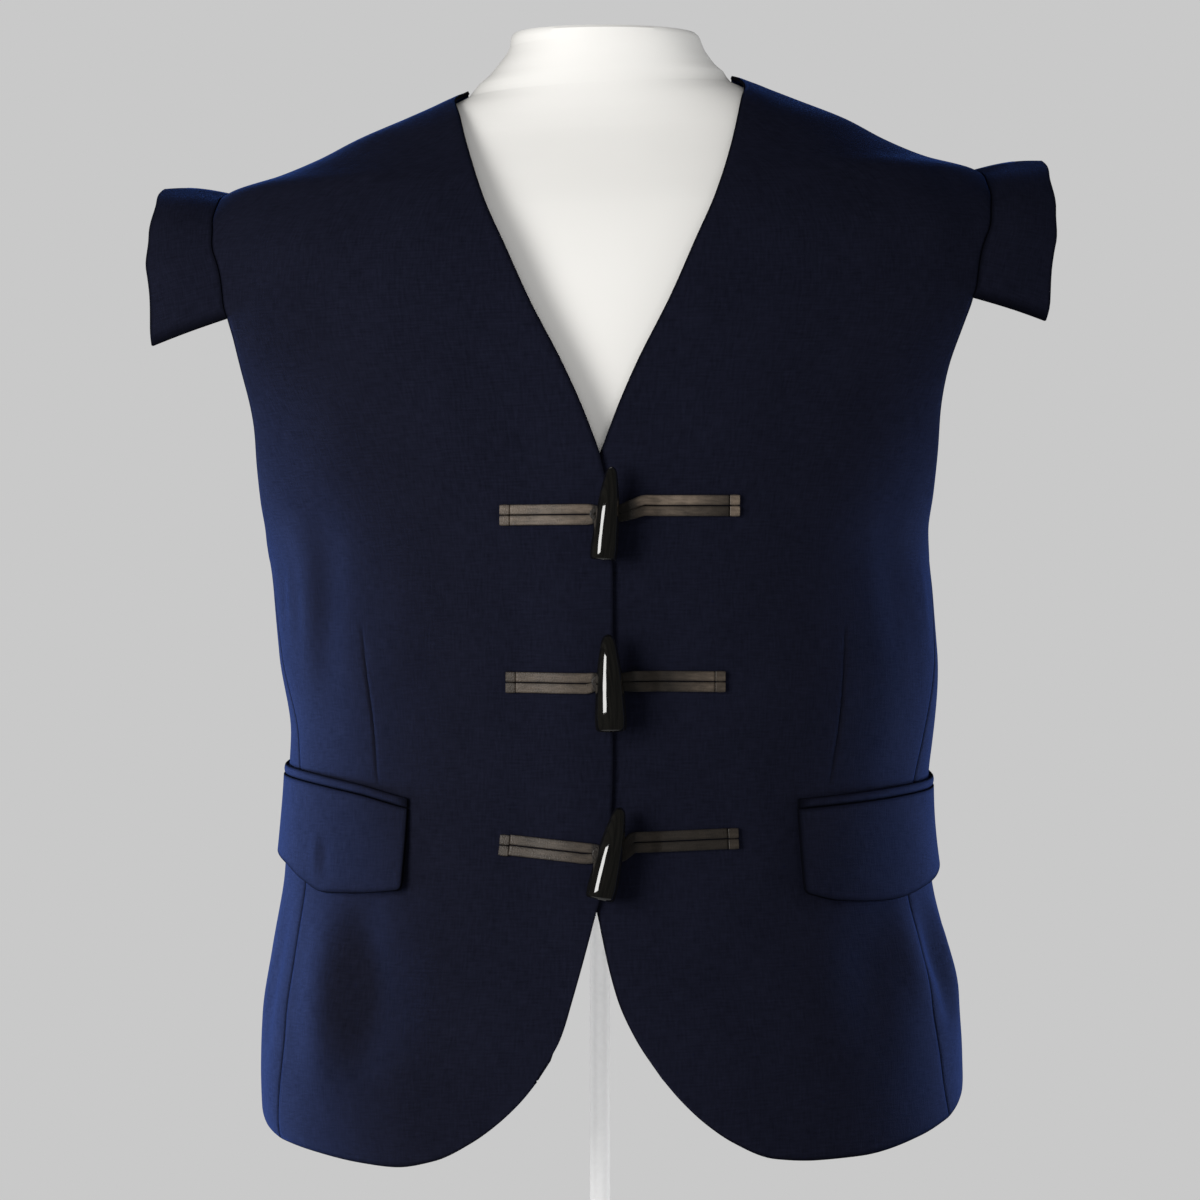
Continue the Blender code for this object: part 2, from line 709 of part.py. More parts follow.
def loft(name, rings, material):
    """A closed body through rings of places, with flat ends."""
    shape = bmesh.new()
    lines = [[shape.verts.new(place) for place in ring] for ring in rings]
    count = len(lines[0])
    for low, high in zip(lines, lines[1:]):
        for i in range(count):
            j = (i + 1) % count
            shape.faces.new((low[i], low[j], high[j], high[i]))
    shape.faces.new(list(reversed(lines[0])))
    shape.faces.new(lines[-1])
    bmesh.ops.recalc_face_normals(shape, faces=shape.faces[:])
    return to_object(name, shape, material)


def shoulder_seam():
    """The ridge from the neck to the shoulder tip, in double steps of a front's columns."""
    heights = np.linspace(NECK_HEIGHT, SHOULDER_TIP_HEIGHT, CURVE_PLACES)
    ridge = np.stack([np.full(CURVE_PLACES, 90.0), heights], axis=-1)
    return spaced(ridge, SHOULDER_COLUMNS)


def halved(edge):
    """An edge with a place added in the middle of each step."""
    middles = (edge[:-1] + edge[1:]) / 2
    woven = np.empty((len(edge) + len(middles), 2))
    woven[0::2] = edge
    woven[1::2] = middles
    return woven


def front_patch(lap_edge, lobe):
    """Places of a front, from the cutaway's hem up to the shoulder seam."""
    rows = SEAM_ROWS + LOWER_ARMHOLE_ROWS + WING_ROWS
    start = joined(
        spaced(from_front_view(lap_edge), LAP_ROWS, LAP_EASE),
        spaced(from_front_view(NECKLINE), rows - LAP_ROWS),
    )
    end = joined(
        spaced(from_turns(FRONT_SEAM), SEAM_ROWS),
        spaced(from_turns(FRONT_ARMHOLE), LOWER_ARMHOLE_ROWS),
        spaced(from_turns(FRONT_WING_SEAM), WING_ROWS),
    )
    foot = envelope(np.array(FRONT_SEAM[0].around), np.array(FRONT_SEAM[0].height))
    hem = (lap_edge[0],) + lobe + (Place(float(foot[0]), FRONT_SEAM[0].height),)
    bottom = spaced(from_front_view(hem), FRONT_COLUMNS)
    bottom[-1] = end[0]
    return patch(bottom, halved(shoulder_seam()), start, end)


def side_patch():
    return patch(
        spaced(from_turns(SIDE_HEM), SIDE_COLUMNS),
        spaced(from_turns(UNDERARM), SIDE_COLUMNS),
        spaced(from_turns(FRONT_SEAM), SEAM_ROWS),
        spaced(from_turns(BACK_SEAM), SEAM_ROWS),
    )


def back_edge():
    return joined(
        spaced(from_turns(BACK_SEAM), SEAM_ROWS),
        spaced(from_turns(BACK_ARMHOLE), LOWER_ARMHOLE_ROWS),
        spaced(from_turns(BACK_WING_SEAM), WING_ROWS),
    )


def back_patch():
    """Places of the whole back, round from the picture's right to its left."""
    half_columns = SHOULDER_COLUMNS + BACK_NECK_COLUMNS // 2
    hem = spaced(from_turns(BACK_HEM), half_columns)
    shoulder = shoulder_seam()[::-1]
    neck = spaced(from_turns(BACK_NECK), BACK_NECK_COLUMNS // 2)
    bottom = joined(hem, mirrored_turns(hem)[::-1])
    half_top = joined(shoulder, neck)
    top = joined(half_top, mirrored_turns(half_top)[::-1])
    return patch(bottom, top, back_edge(), mirrored_turns(back_edge()))


def cloth_panel(name, places, side, material, lapping=False):
    """A panel of single cloth with the folds of its side."""
    around = places[..., 0]
    height = places[..., 1]
    normals = outward(around, height)
    lift = relief(around, height, side)
    if lapping:
        lift = lift + lap(around, height)
    middle = inset_rim(envelope(around, height) + normals * lift[..., None])
    if name.startswith("front"):
        straighten_top(middle)
        straighten_top(normals)
    return wall(name, middle, normals, CLOTH, material, side == "left")


def make_panels(material):
    cloth_panel("front_left", front_patch(OVER_EDGE, LOBE), "left", material, lapping=True)
    cloth_panel("front_right", front_patch(UNDER_EDGE, UNDER_LOBE), "right", material)
    for side in ("left", "right"):
        cloth_panel(f"side_{side}", side_patch(), side, material)
    cloth_panel("back", back_patch(), "right", material)


def wing_seam():
    """The armhole's upper edge, from the front end over the shoulder tip to the back end."""
    front = spaced(from_turns(FRONT_WING_SEAM), WING_ROWS)
    back = spaced(from_turns(BACK_WING_SEAM), WING_ROWS)
    return joined(front, back[::-1])


def make_wing(side, material):
    """A stiff band that stands out from the top of the armhole."""
    seam = wing_seam()
    normals = outward(seam[:, 0], seam[:, 1])
    lift = relief(seam[:, 0], seam[:, 1], side)
    root = envelope(seam[:, 0], seam[:, 1]) + normals * lift[:, None]
    share = 1 - np.abs(np.linspace(-1.0, 1.0, len(root)))
    front_half = np.sign(np.linspace(1.0, -1.0, len(root)))
    reach = {name: smooth(column(WING_REACH, "share"), column(WING_REACH, name), share)
             for name in ("out", "forward", "up")}
    up = reach["up"] * np.where(front_half < 0, WING_BACK_DROP, 1.0)
    step = np.stack([reach["out"], -front_half * reach["forward"], up], axis=-1)
    grid = []
    for part in np.linspace(0.0, 1.0, WING_COLUMNS + 1):
        bulge = WING_BULGE * math.sin(math.pi * part)
        grid.append(root + step * part + normals * bulge)
    middle = inset_rim(np.array(grid))
    sideways = np.gradient(middle, axis=1)
    outwards = np.gradient(middle, axis=0)
    faces_out = np.cross(sideways, outwards)
    faces_out /= np.linalg.norm(faces_out, axis=-1, keepdims=True)
    blend = np.linspace(1.0, 0.0, WING_COLUMNS + 1)[:, None, None] ** 2
    flip = np.sign((faces_out * normals[None]).sum(axis=-1, keepdims=True))
    faces_out = faces_out * flip * (1 - blend) + normals[None] * blend
    faces_out /= np.linalg.norm(faces_out, axis=-1, keepdims=True)
    wall(f"wing_{side}", middle, faces_out, WING_THICKNESS, material, side == "left")


def laid_on(places, side, lift, thickness, name, material):
    """A flat piece that lies on the panels: their own places, moved out."""
    around = places[..., 0]
    height = places[..., 1]
    normals = outward(around, height)
    rise = relief(around, height, side) + CLOTH / 2 + LAID_GAP + thickness / 2 + lift
    middle = envelope(around, height) + normals * rise[..., None]
    wall(name, middle, normals, thickness, material, side == "left")


def make_pocket(side, material):
    """The flap that hangs over the pocket mouth and the strip sewn above it."""
    top = spaced(from_turns(FLAP_TOPS[side]), FLAP_COLUMNS)
    bottom = spaced(from_turns(FLAP_BOTTOMS[side]), FLAP_COLUMNS)
    share = np.linspace(0.0, 1.0, FLAP_ROWS + 1)[:, None]
    start = bottom[0] + (top[0] - bottom[0]) * share
    end = bottom[-1] + (top[-1] - bottom[-1]) * share
    flap = patch(bottom, top, start, end)
    down = np.linspace(1.0, 0.0, FLAP_ROWS + 1)[:, None]
    back = np.linspace(0.0, 1.0, FLAP_COLUMNS + 1)[None, :]
    lift = FLAP_CORNER_LIFT * down * back**2 + FLAP_HANG * down
    laid_on(flap, side, lift, FLAP_THICKNESS, f"flap_{side}", material)
    low = top + np.array([0.0, SEAM_GAP])
    high = top + np.array([0.0, JET_HEIGHT])
    strip = np.stack([low, high])
    laid_on(strip, side, 0.0, JET_THICKNESS, f"jet_{side}", material)


def front_place(x, height, lift):
    """A place above the front, lift from the envelope, and the normal there."""
    around = around_at(np.asarray(x), np.asarray(height))
    normal = outward(around, np.asarray(height))
    return envelope(around, np.asarray(height)) + normal * np.asarray(lift)[..., None], normal


def band(name, route, widths, thickness, material):
    """A flat strap along rows of x, height and lift, with its own width at each row."""
    middle, normal = front_place(route[:, 0], route[:, 1], route[:, 2])
    along = np.gradient(middle, axis=0)
    along /= np.linalg.norm(along, axis=1, keepdims=True)
    across = np.cross(normal, along)
    across /= np.linalg.norm(across, axis=1, keepdims=True)
    above = np.cross(along, across)
    half = (np.asarray(widths) / 2)[:, None]
    rings = []
    for a, b in ((1, 1), (-1, 1), (-1, -1), (1, -1)):
        rings.append(middle + across * half * a + above * b * thickness / 2)
    return loft(name, np.stack(rings, axis=1), material)


def strap_route(end, part, middle, heading, low_lift, high_lift):
    """Out along one strand, round the open loop at the toggle and back along the other."""
    end = np.array(end)
    part = np.array(part)
    lead = (part - end) / np.linalg.norm(part - end)
    square = np.array([-lead[1], lead[0]]) * heading
    upper = [end + (part - end) * share + square * STRAND_PITCH / 2 for share in STRAND_SHARES]
    lower = [place - square * STRAND_PITCH for place in upper]
    turns = np.radians(LOOP_TURNS)
    ahead = middle[0] + heading * LOOP_REACH * np.cos(turns)
    for strand, way in ((upper, 1), (lower, -1)):
        loop = np.stack([ahead, middle[1] + way * LOOP_HALF_HEIGHT * np.sin(turns)], axis=-1)
        strand.append((strand[-1] + loop[0]) / 2)
        strand.extend(loop)
    route = np.array(upper + lower[-2::-1])
    climb = (CLIMB_START - np.abs(route[:, 0] - middle[0])) / (CLIMB_START - CLIMB_END)
    climb = np.clip(climb, 0.0, 1.0)
    lift = low_lift + (high_lift - low_lift) * climb**2 * (3 - 2 * climb)
    widths = [STRAND_WIDTH] * (len(STRAND_SHARES) - 1) + list(PARTING_WIDTHS)
    widths += [LOOP_WIDTH] * (len(LOOP_TURNS) - 1)
    return np.column_stack([route, lift]), widths + widths[-2::-1]


def strap_lifts():
    """Middle of each loop above the envelope: on the lapping front, on the other, and over both loops."""
    on_cloth = CLOTH / 2 + SEAM_GAP + STRAP_THICKNESS / 2
    on_lap = LAP_RISE + on_cloth
    return on_lap, on_cloth, on_lap + STRAP_THICKNESS + 2 * SEAM_GAP


def make_straps(number, row, material):
    """Both leather loops of a fastening, the toggle's own below the other, and their sewn ends."""
    on_lap, on_under, over_both = strap_lifts()
    middle = (row.x, row.height)
    left_end = (row.left_x + TAB_LENGTH, row.left_height)
    left_part = (row.left_part, row.left_part_height)
    route, widths = strap_route(left_end, left_part, middle, 1, on_lap, on_lap)
    route[:, 2] -= lap_shortfall(route)
    band(f"toggle_strap_{number}", route, widths, STRAP_THICKNESS, material)
    right_end = (row.right_x - TAB_LENGTH, row.right_height)
    right_part = (row.right_part, row.right_part_height)
    route, widths = strap_route(right_end, right_part, middle, -1, on_under, over_both)
    band(f"loop_strap_{number}", route, widths, STRAP_THICKNESS, material)
    for side, x, height, part, part_height in (
        ("left", row.left_x, row.left_height, row.left_part, row.left_part_height),
        ("right", row.right_x, row.right_height, row.right_part, row.right_part_height),
    ):
        make_tab(f"tab_{side}_{number}", x, height, part, part_height, side, material)


def lap_shortfall(route):
    """How much lower the lapping front lies than its full rise, at each place of a route."""
    own_side = -route[:, 0]
    around = around_at(own_side, route[:, 1])
    return np.where(own_side > 0, LAP_RISE - lap(around, route[:, 1]), 0.0)


def make_tab(name, x, height, part, part_height, side, material):
    lead = np.array([part - x, part_height - height])
    lead /= np.linalg.norm(lead)
    near = np.array([x, height]) + lead * (TAB_LENGTH - SEAM_GAP)
    rise = CLOTH / 2 + SEAM_GAP + TAB_THICKNESS / 2
    route = np.array([[x, height, rise], [near[0], near[1], rise]])
    if side == "left":
        route[:, 2] += LAP_RISE - lap_shortfall(route)
    band(name, route, [TAB_WIDTH, TAB_WIDTH], TAB_THICKNESS, material)


def horn_radius(horn, share):
    shares = column(HORN_GIRTHS, "share")
    return float(smooth(shares, column(HORN_GIRTHS, "radius"), share)) * horn.stoutness


def horn_bend(share):
    """How far a horn's middle line stands forward of the line between its ends."""
    return TOGGLE_BEND * (1 - (2 * share - 1) ** 2)


def toggle_lift(horn):
    """The line between a horn's ends, above the envelope, with its back seated on the loops."""
    _, _, over_both = strap_lifts()
    seat = over_both + STRAP_THICKNESS / 2 + SEAM_GAP
    share = 0.5 - (LOOP_HALF_HEIGHT + LOOP_WIDTH / 2) / horn.length
    return seat + horn_radius(horn, share) - horn_bend(share)


def make_toggle(number, row, horn, material):
    """A horn tip: round, tapered, flat at its wide end and a little bent."""
    rings = []
    for girth in HORN_GIRTHS:
        along = (girth.share - 0.5) * horn.length
        radius = girth.radius * horn.stoutness
        ring = []
        for i in range(TOGGLE_SIDES):
            turn = 2 * math.pi * i / TOGGLE_SIDES
            ahead = radius * math.sin(turn) - horn_bend(girth.share)
            ring.append((radius * math.cos(turn), ahead, along))
        rings.append(ring)
    toggle = loft(f"toggle_{number}", rings, material)
    place, normal = front_place(row.x, row.height, toggle_lift(horn))
    toggle.location = Vector(place)
    toggle.rotation_euler = (-math.atan2(normal[2], -normal[1]), math.radians(row.lean), 0.0)
    return toggle


def make_form(material):
    """The bust: one smooth body from its flat underside to the flat top of its neck."""
    around = np.arange(FORM_SIDES) * 360 / FORM_SIDES
    rings = []
    for row in FORM_RINGS:
        x, y = on_ring(row.half_width, row.front_depth, row.back_depth, row.squareness, around)
        shift = smooth(column(NECK_LEAN, "height"), column(NECK_LEAN, "shift"), row.height)
        rings.append(np.stack([x + shift, y, np.full(FORM_SIDES, row.height)], axis=-1))
    return loft("form_bust", rings, material)


def turned(name, profile, sides, material):
    """A body turned about Z through rows of radius and height."""
    rings = []
    for radius, height in profile:
        turns = [2 * math.pi * i / sides for i in range(sides)]
        rings.append([(radius * math.cos(turn), radius * math.sin(turn), height) for turn in turns])
    return loft(name, rings, material)


def make_stand(material):
    """Round base, pole and the collar that carries the form."""
    base = (
        (BASE_RADIUS - BASE_BEVEL, 0.0),
        (BASE_RADIUS, BASE_BEVEL),
        (BASE_RADIUS, BASE_HEIGHT - BASE_EDGE),
        (BASE_RADIUS - BASE_EDGE, BASE_HEIGHT),
        (HUB_RADIUS + BASE_EDGE, BASE_HEIGHT + BASE_EDGE),
        (HUB_RADIUS, BASE_HEIGHT + 2 * BASE_EDGE),
        (HUB_RADIUS - BASE_EDGE, HUB_HEIGHT),
    )
    turned("stand_base", base, BASE_SIDES, material)
    form_bottom = HEM_HEIGHT + FORM_RINGS[0].height
    collar_top = form_bottom - SEAM_GAP
    collar_bottom = collar_top - COLLAR_HEIGHT
    collar = (
        (COLLAR_RADIUS - COLLAR_EDGE, collar_bottom),
        (COLLAR_RADIUS, collar_bottom + COLLAR_EDGE),
        (COLLAR_RADIUS, collar_top),
    )
    turned("stand_collar", collar, COLLAR_SIDES, material)
    pole = ((POLE_RADIUS, HUB_HEIGHT + SEAM_GAP), (POLE_RADIUS, collar_bottom - SEAM_GAP))
    turned("stand_pole", pole, POLE_SIDES, material)


def sitting(place):
    """Where a place drawn evenly lies once the whole hangs a little askew."""
    heights = column(SITS, "height")
    rise = float(smooth(heights, column(SITS, "rise"), place.z))
    sway = float(smooth(heights, column(SITS, "sway"), place.z))
    return place + Vector((sway * (place.x / SWAY_REACH) ** 2, 0.0, rise * place.x))


def let_sit():
    """Hangs the cloth, its fastenings and the form's shoulders a little askew."""
    for thing in bpy.data.objects:
        if thing.name.startswith("stand"):
            continue
        if thing.name.startswith("toggle_") and "strap" not in thing.name:
            thing.location = sitting(thing.location)
            continue
        on_form = thing.name == "form_bust"
        for vert in thing.data.vertices:
            if not on_form:
                vert.co = sitting(vert.co)
            elif vert.co.z > FORM_SITS_ABOVE:
                vert.co.z = sitting(vert.co).z


def hang_on_frame(names_on_floor):
    """Raises what is drawn from the hem to its height above the floor."""
    frame = bpy.data.objects.new("hem_level", None)
    frame.location = (0.0, 0.0, HEM_HEIGHT)
    bpy.context.collection.objects.link(frame)
    for thing in bpy.data.objects:
        if thing.type == "MESH" and thing.name not in names_on_floor:
            thing.parent = frame


def main():
    clear_scene()
    materials = make_materials()
    make_panels(materials["wool"])
    for side in ("left", "right"):
        make_wing(side, materials["wool"])
        make_pocket(side, materials["wool"])
    for number, (row, horn) in enumerate(zip(FASTENINGS, HORNS), start=1):
        make_straps(number, row, materials["leather"])
        make_toggle(number, row, horn, materials["horn"])
    make_form(materials["form"])
    make_stand(materials["stand"])
    let_sit()
    hang_on_frame(("stand_base", "stand_collar", "stand_pole"))


main()
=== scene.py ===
"""Looks of a jacobean waistcoat on its dress form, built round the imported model.

Metres, +Z up, the front faces -Y and +X is the picture's right. Heights in the tables are measured
from the lowest point of the front hem, which is HEM_HEIGHT above the floor. The cloth lies on one
envelope of rings. A place on it is (around, height): around is 0 degrees at the centre front, 90 at
the side and 180 at the centre back. Pieces are drawn for the picture's right and mirrored.
"""

import math
from collections import namedtuple

import bmesh
import bpy
import numpy as np
from bpy.props import FloatProperty, FloatVectorProperty, PointerProperty
from mathutils import Euler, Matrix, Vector


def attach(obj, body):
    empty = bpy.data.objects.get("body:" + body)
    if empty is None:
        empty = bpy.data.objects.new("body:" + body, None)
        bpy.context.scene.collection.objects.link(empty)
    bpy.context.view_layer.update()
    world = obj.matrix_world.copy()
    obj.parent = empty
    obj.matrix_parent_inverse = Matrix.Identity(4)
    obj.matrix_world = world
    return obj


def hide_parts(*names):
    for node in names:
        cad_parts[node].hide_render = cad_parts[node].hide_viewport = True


bl_info = {
    "name": "Jacobean Waistcoat",
    "version": (1, 0, 0),
    "blender": (4, 5, 0),
    "location": "3D View > Sidebar > Waistcoat",
    "description": "Builds a wool waistcoat with shoulder wings and horn toggles on a dress form",
    "category": "Object",
}

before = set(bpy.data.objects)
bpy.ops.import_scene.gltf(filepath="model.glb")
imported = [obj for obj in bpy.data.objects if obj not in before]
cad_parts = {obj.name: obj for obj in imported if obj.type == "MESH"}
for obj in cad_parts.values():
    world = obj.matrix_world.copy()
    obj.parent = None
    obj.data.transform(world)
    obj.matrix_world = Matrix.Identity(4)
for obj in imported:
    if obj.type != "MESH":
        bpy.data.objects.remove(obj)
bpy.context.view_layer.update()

# Cloth and seams, as in the part's source
HEM_HEIGHT = 0.110
HEM_LEVEL = np.array([0.0, 0.0, HEM_HEIGHT])
CLOTH = 0.0020
SEAM_GAP = 0.0003
LAID_GAP = 0.00095
RIM_INSET = 0.00017
EDGE_ROUND = 0.0006
STIFF_EDGE_ROUND = 0.0008
CUT_EDGE_ANGLE = 55.0

# The lap of the fronts and the heights where edges meet
LAP_RISE = 0.0027
LAP_WIDTH = 0.0076
LAP_REACH = 0.048
LAP_FADE = 0.034
LAP_BOTTOM = 0.085
LAP_BOTTOM_FADE = 0.050
LAP_TOP = 0.490
LAP_TOP_FADE = 0.080
V_HEIGHT = 0.404
HEM_CORNER_HEIGHT = 0.0493
NECK_HEIGHT = 0.6305
SHOULDER_TIP_HEIGHT = 0.5705

# Shoulder wings, pocket flaps and the strips above them
WING_THICKNESS = 0.0024
WING_BACK_DROP = 0.70
WING_BULGE = 0.0022
FLAP_THICKNESS = 0.0024
FLAP_HANG = 0.0008
FLAP_CORNER_LIFT = 0.0020
FLAP_FRONT_LIFT = 0.0030
FLAP_CORNER = 0.0034
JET_THICKNESS = 0.0016
JET_HEIGHT = 0.0058
JET_CROWN = 0.0006

# Leather loops and their sewn ends
STRAP_THICKNESS = 0.0018
STRAND_WIDTH = 0.0057
STRAND_PITCH = 0.0062
PARTING_WIDTHS = (0.0057, 0.0056, 0.0046)
LOOP_WIDTH = 0.0030
LOOP_REACH = 0.0088
LOOP_HALF_HEIGHT = 0.0033
LOOP_TURNS = (130.0, 90.0, 60.0, 35.0, 15.0, 0.0)
STRAND_SHARES = (0.0, 0.25, 0.5, 0.7, 0.85, 1.0)
CLIMB_START = 0.031
CLIMB_END = 0.0145
TAB_LENGTH = 0.0058
TAB_THICKNESS = 0.0021
TAB_SHARES = (0.0, 0.12, 0.5, 0.88, 1.0)
TAB_WIDTHS = (0.0056, 0.0058, 0.0060, 0.0058, 0.0056)
STRAP_SQUARENESS = 6.0
STRAP_SIDES = 24
STRAP_STEP = 0.0011
TAB_STEP = 0.0005

# Horns: how far each bends, where its tip rounds off, and the rows of places at its two ends
TOGGLE_BEND = 0.0022
TIP_START = 0.975
TIP_ROUND = 0.985
CUT_END_SHARES = (0.0, 0.004, 0.010, 0.02)
TIP_SHARES = (0.975, 0.982, 0.989, 0.994, 0.998, 1.0)
HORN_BODY = (0.04, 0.96)
HORN_ROWS = 60
HORN_SIDES = 40
CIRCLE_SQUARENESS = 2.0

# The form and its stand
FORM_ROWS = 130
FORM_SIDES = 129
BASE_RADIUS = 0.145
BASE_HEIGHT = 0.016
FOOT_EDGE = 0.001
STAND_EDGE = 0.003
HUB_RADIUS = 0.022
HUB_HEIGHT = 0.034
POLE_RADIUS = 0.006
COLLAR_RADIUS = 0.028
COLLAR_HEIGHT = 0.008
COLLAR_CORNER = 0.004
COLLAR_LIP = 0.0006
TURN_STEPS = 96
MERGE_DISTANCE = 1e-6

# Edges between faces that meet at more than these degrees stay crisp
CRISP_ANGLES = {"horn": 38.0, "form": 40.0, "stand": 35.0}

# How many places each curve, row and column has, and in how many rounds one settles on the cloth
CURVE_PLACES = 241
SETTLE_ROUNDS = 12
SEAM_ROWS = 77
LOWER_ARMHOLE_ROWS = 42
WING_ROWS = 35
LAP_ROWS = 84
LAP_EASE = 1.35
FRONT_COLUMNS = 70
SHOULDER_COLUMNS = 42
BACK_NECK_COLUMNS = 60
SIDE_COLUMNS = 35
WING_COLUMNS = 14
FLAP_ROWS = 18
FLAP_COLUMNS = 44
JET_ROWS = 6

# Two close lines of places inside each edge, no further in than most of the way to the next line.
# The rim and both lines turn in. On them the wool's colour is painted darker as painted shade along
# the edges, and the faces at the rim have no nap: 0 is darkest and bare, and 1 is whole.
MARGINS = (0.0008, 0.0024)
MARGIN_LIMIT = 0.9
EDGE_TURN = (0.0007, 0.0003, 0.00008)
EDGE_NAP_AND_SHADE = (0.0, 0.40, 0.92)

# Envelope of the cloth, upwards from the hem
Ring = namedtuple("Ring", "height half_width front_depth back_depth squareness")
CLOTH_RINGS = (
    Ring(-0.020, 0.2070, 0.1415, 0.1060, 2.40),
    Ring(0.045, 0.2085, 0.1380, 0.1060, 2.40),
    Ring(0.081, 0.2065, 0.1360, 0.1060, 2.35),
    Ring(0.117, 0.2000, 0.1340, 0.1050, 2.30),
    Ring(0.160, 0.1920, 0.1320, 0.1035, 2.30),
    Ring(0.205, 0.1900, 0.1290, 0.0990, 2.30),
    Ring(0.240, 0.1912, 0.1275, 0.0960, 2.30),
    Ring(0.290, 0.1960, 0.1295, 0.0985, 2.30),
    Ring(0.338, 0.1960, 0.1320, 0.1045, 2.30),
    Ring(0.360, 0.1995, 0.1325, 0.1070, 2.30),
    Ring(0.381, 0.2070, 0.1320, 0.1090, 2.30),
    Ring(0.405, 0.2165, 0.1305, 0.1110, 2.30),
    Ring(0.429, 0.2270, 0.1285, 0.1120, 2.30),
    Ring(0.453, 0.2405, 0.1255, 0.1120, 2.30),
    Ring(0.477, 0.2530, 0.1215, 0.1105, 2.30),
    Ring(0.501, 0.2600, 0.1160, 0.1080, 2.30),
    Ring(0.530, 0.2595, 0.1075, 0.1020, 2.30),
    Ring(0.548, 0.2495, 0.0995, 0.0960, 2.30),
    Ring(0.562, 0.2345, 0.0910, 0.0890, 2.30),
    Ring(0.5705, 0.2220, 0.0852, 0.0841, 2.30),
    Ring(0.5785, 0.1950, 0.0796, 0.0786, 2.30),
    Ring(0.5885, 0.1710, 0.0725, 0.0719, 2.30),
    Ring(0.6015, 0.1460, 0.0635, 0.0648, 2.30),
    Ring(0.6135, 0.1165, 0.0560, 0.0605, 2.30),
    Ring(0.6212, 0.0980, 0.0513, 0.0577, 2.30),
    Ring(0.6305, 0.0792, 0.0455, 0.0535, 2.30),
    Ring(0.640, 0.0750, 0.0420, 0.0500, 2.30),
)

# Surface of the dress form, upwards from its flat underside to the flat top of its neck
FORM_RINGS = (
    Ring(0.1700, 0.1540, 0.0940, 0.0720, 2.30),
    Ring(0.1715, 0.1600, 0.0995, 0.0775, 2.30),
    Ring(0.1760, 0.1635, 0.1025, 0.0805, 2.30),
    Ring(0.2050, 0.1635, 0.1025, 0.0810, 2.30),
    Ring(0.2430, 0.1610, 0.1035, 0.0800, 2.30),
    Ring(0.2850, 0.1680, 0.1090, 0.0850, 2.30),
    Ring(0.3250, 0.1760, 0.1160, 0.0920, 2.30),
    Ring(0.3650, 0.1815, 0.1195, 0.0985, 2.30),
    Ring(0.4050, 0.1890, 0.1165, 0.1020, 2.30),
    Ring(0.4450, 0.1970, 0.1090, 0.1020, 2.30),
    Ring(0.4800, 0.2030, 0.1015, 0.0990, 2.30),
    Ring(0.5100, 0.2065, 0.0940, 0.0945, 2.30),
    Ring(0.5350, 0.2080, 0.0862, 0.0880, 2.30),
    Ring(0.5530, 0.2065, 0.0790, 0.0820, 2.30),
    Ring(0.5615, 0.2035, 0.0748, 0.0778, 2.25),
    Ring(0.5695, 0.1985, 0.0705, 0.0732, 2.20),
    Ring(0.5755, 0.1930, 0.0672, 0.0697, 2.20),
    Ring(0.5865, 0.1690, 0.0612, 0.0637, 2.20),
    Ring(0.5995, 0.1440, 0.0545, 0.0560, 2.20),
    Ring(0.6115, 0.1140, 0.0500, 0.0474, 2.20),
    Ring(0.6196, 0.0940, 0.0479, 0.0429, 2.20),
    Ring(0.6268, 0.0785, 0.0465, 0.0420, 2.15),
    Ring(0.6335, 0.0735, 0.0460, 0.0430, 2.10),
    Ring(0.6385, 0.0676, 0.0460, 0.0450, 2.10),
    Ring(0.6430, 0.0640, 0.0461, 0.0465, 2.10),
    Ring(0.6480, 0.0602, 0.0465, 0.0475, 2.10),
    Ring(0.6530, 0.0576, 0.0468, 0.0478, 2.10),
    Ring(0.6585, 0.0562, 0.0470, 0.0480, 2.10),
    Ring(0.6600, 0.0548, 0.0456, 0.0468, 2.10),
)

# How far the form's neck leans towards the picture's right
Lean = namedtuple("Lean", "height shift")
NECK_LEAN = (
    Lean(0.630, 0.0),
    Lean(0.645, 0.0024),
    Lean(0.653, 0.0036),
    Lean(0.660, 0.0028),
)

# Edges of a front as the picture's plane shows them: own_side is the distance from the centre
# line towards the front's own side, so it is negative where the fronts lap.
Place = namedtuple("Place", "own_side height")
LAP_LINE = (
    Place(-LAP_WIDTH, 0.2300),
    Place(-LAP_WIDTH, 0.3300),
    Place(-0.0040, 0.3850),
    Place(0.0, V_HEIGHT),
)
OVER_EDGE = (
    Place(0.0368, HEM_CORNER_HEIGHT),
    Place(0.0226, 0.0720),
    Place(0.0153, 0.0946),
    Place(0.0028, 0.1400),
    Place(-0.0045, 0.1700),
) + LAP_LINE
UNDER_EDGE = (
    Place(0.0350, HEM_CORNER_HEIGHT),
    Place(0.0204, 0.0720),
    Place(0.0102, 0.0946),
    Place(-0.0006, 0.1400),
    Place(-0.0060, 0.1700),
) + LAP_LINE
NECKLINE = (
    Place(0.0, V_HEIGHT),
    Place(0.0115, 0.434),
    Place(0.0217, 0.457),
    Place(0.0405, 0.494),
    Place(0.0555, 0.528),
    Place(0.0665, 0.553),
    Place(0.0775, 0.588),
    Place(0.0832, 0.612),
    Place(0.0857, 0.6215),
    Place(0.0792, NECK_HEIGHT),
)
LOBE = (
    Place(0.0464, 0.0380),
    Place(0.0589, 0.0267),
    Place(0.0747, 0.0154),
    Place(0.0974, 0.0040),
    Place(0.1200, 0.0),
    Place(0.1430, 0.0018),
    Place(0.1780, 0.0080),
)
UNDER_LOBE = (
    Place(0.0464, 0.0348),
    Place(0.0589, 0.0221),
    Place(0.0747, 0.0108),
    Place(0.0974, 0.0014),
    Place(0.1200, -0.0006),
    Place(0.1430, 0.0),
    Place(0.1780, 0.0070),
)

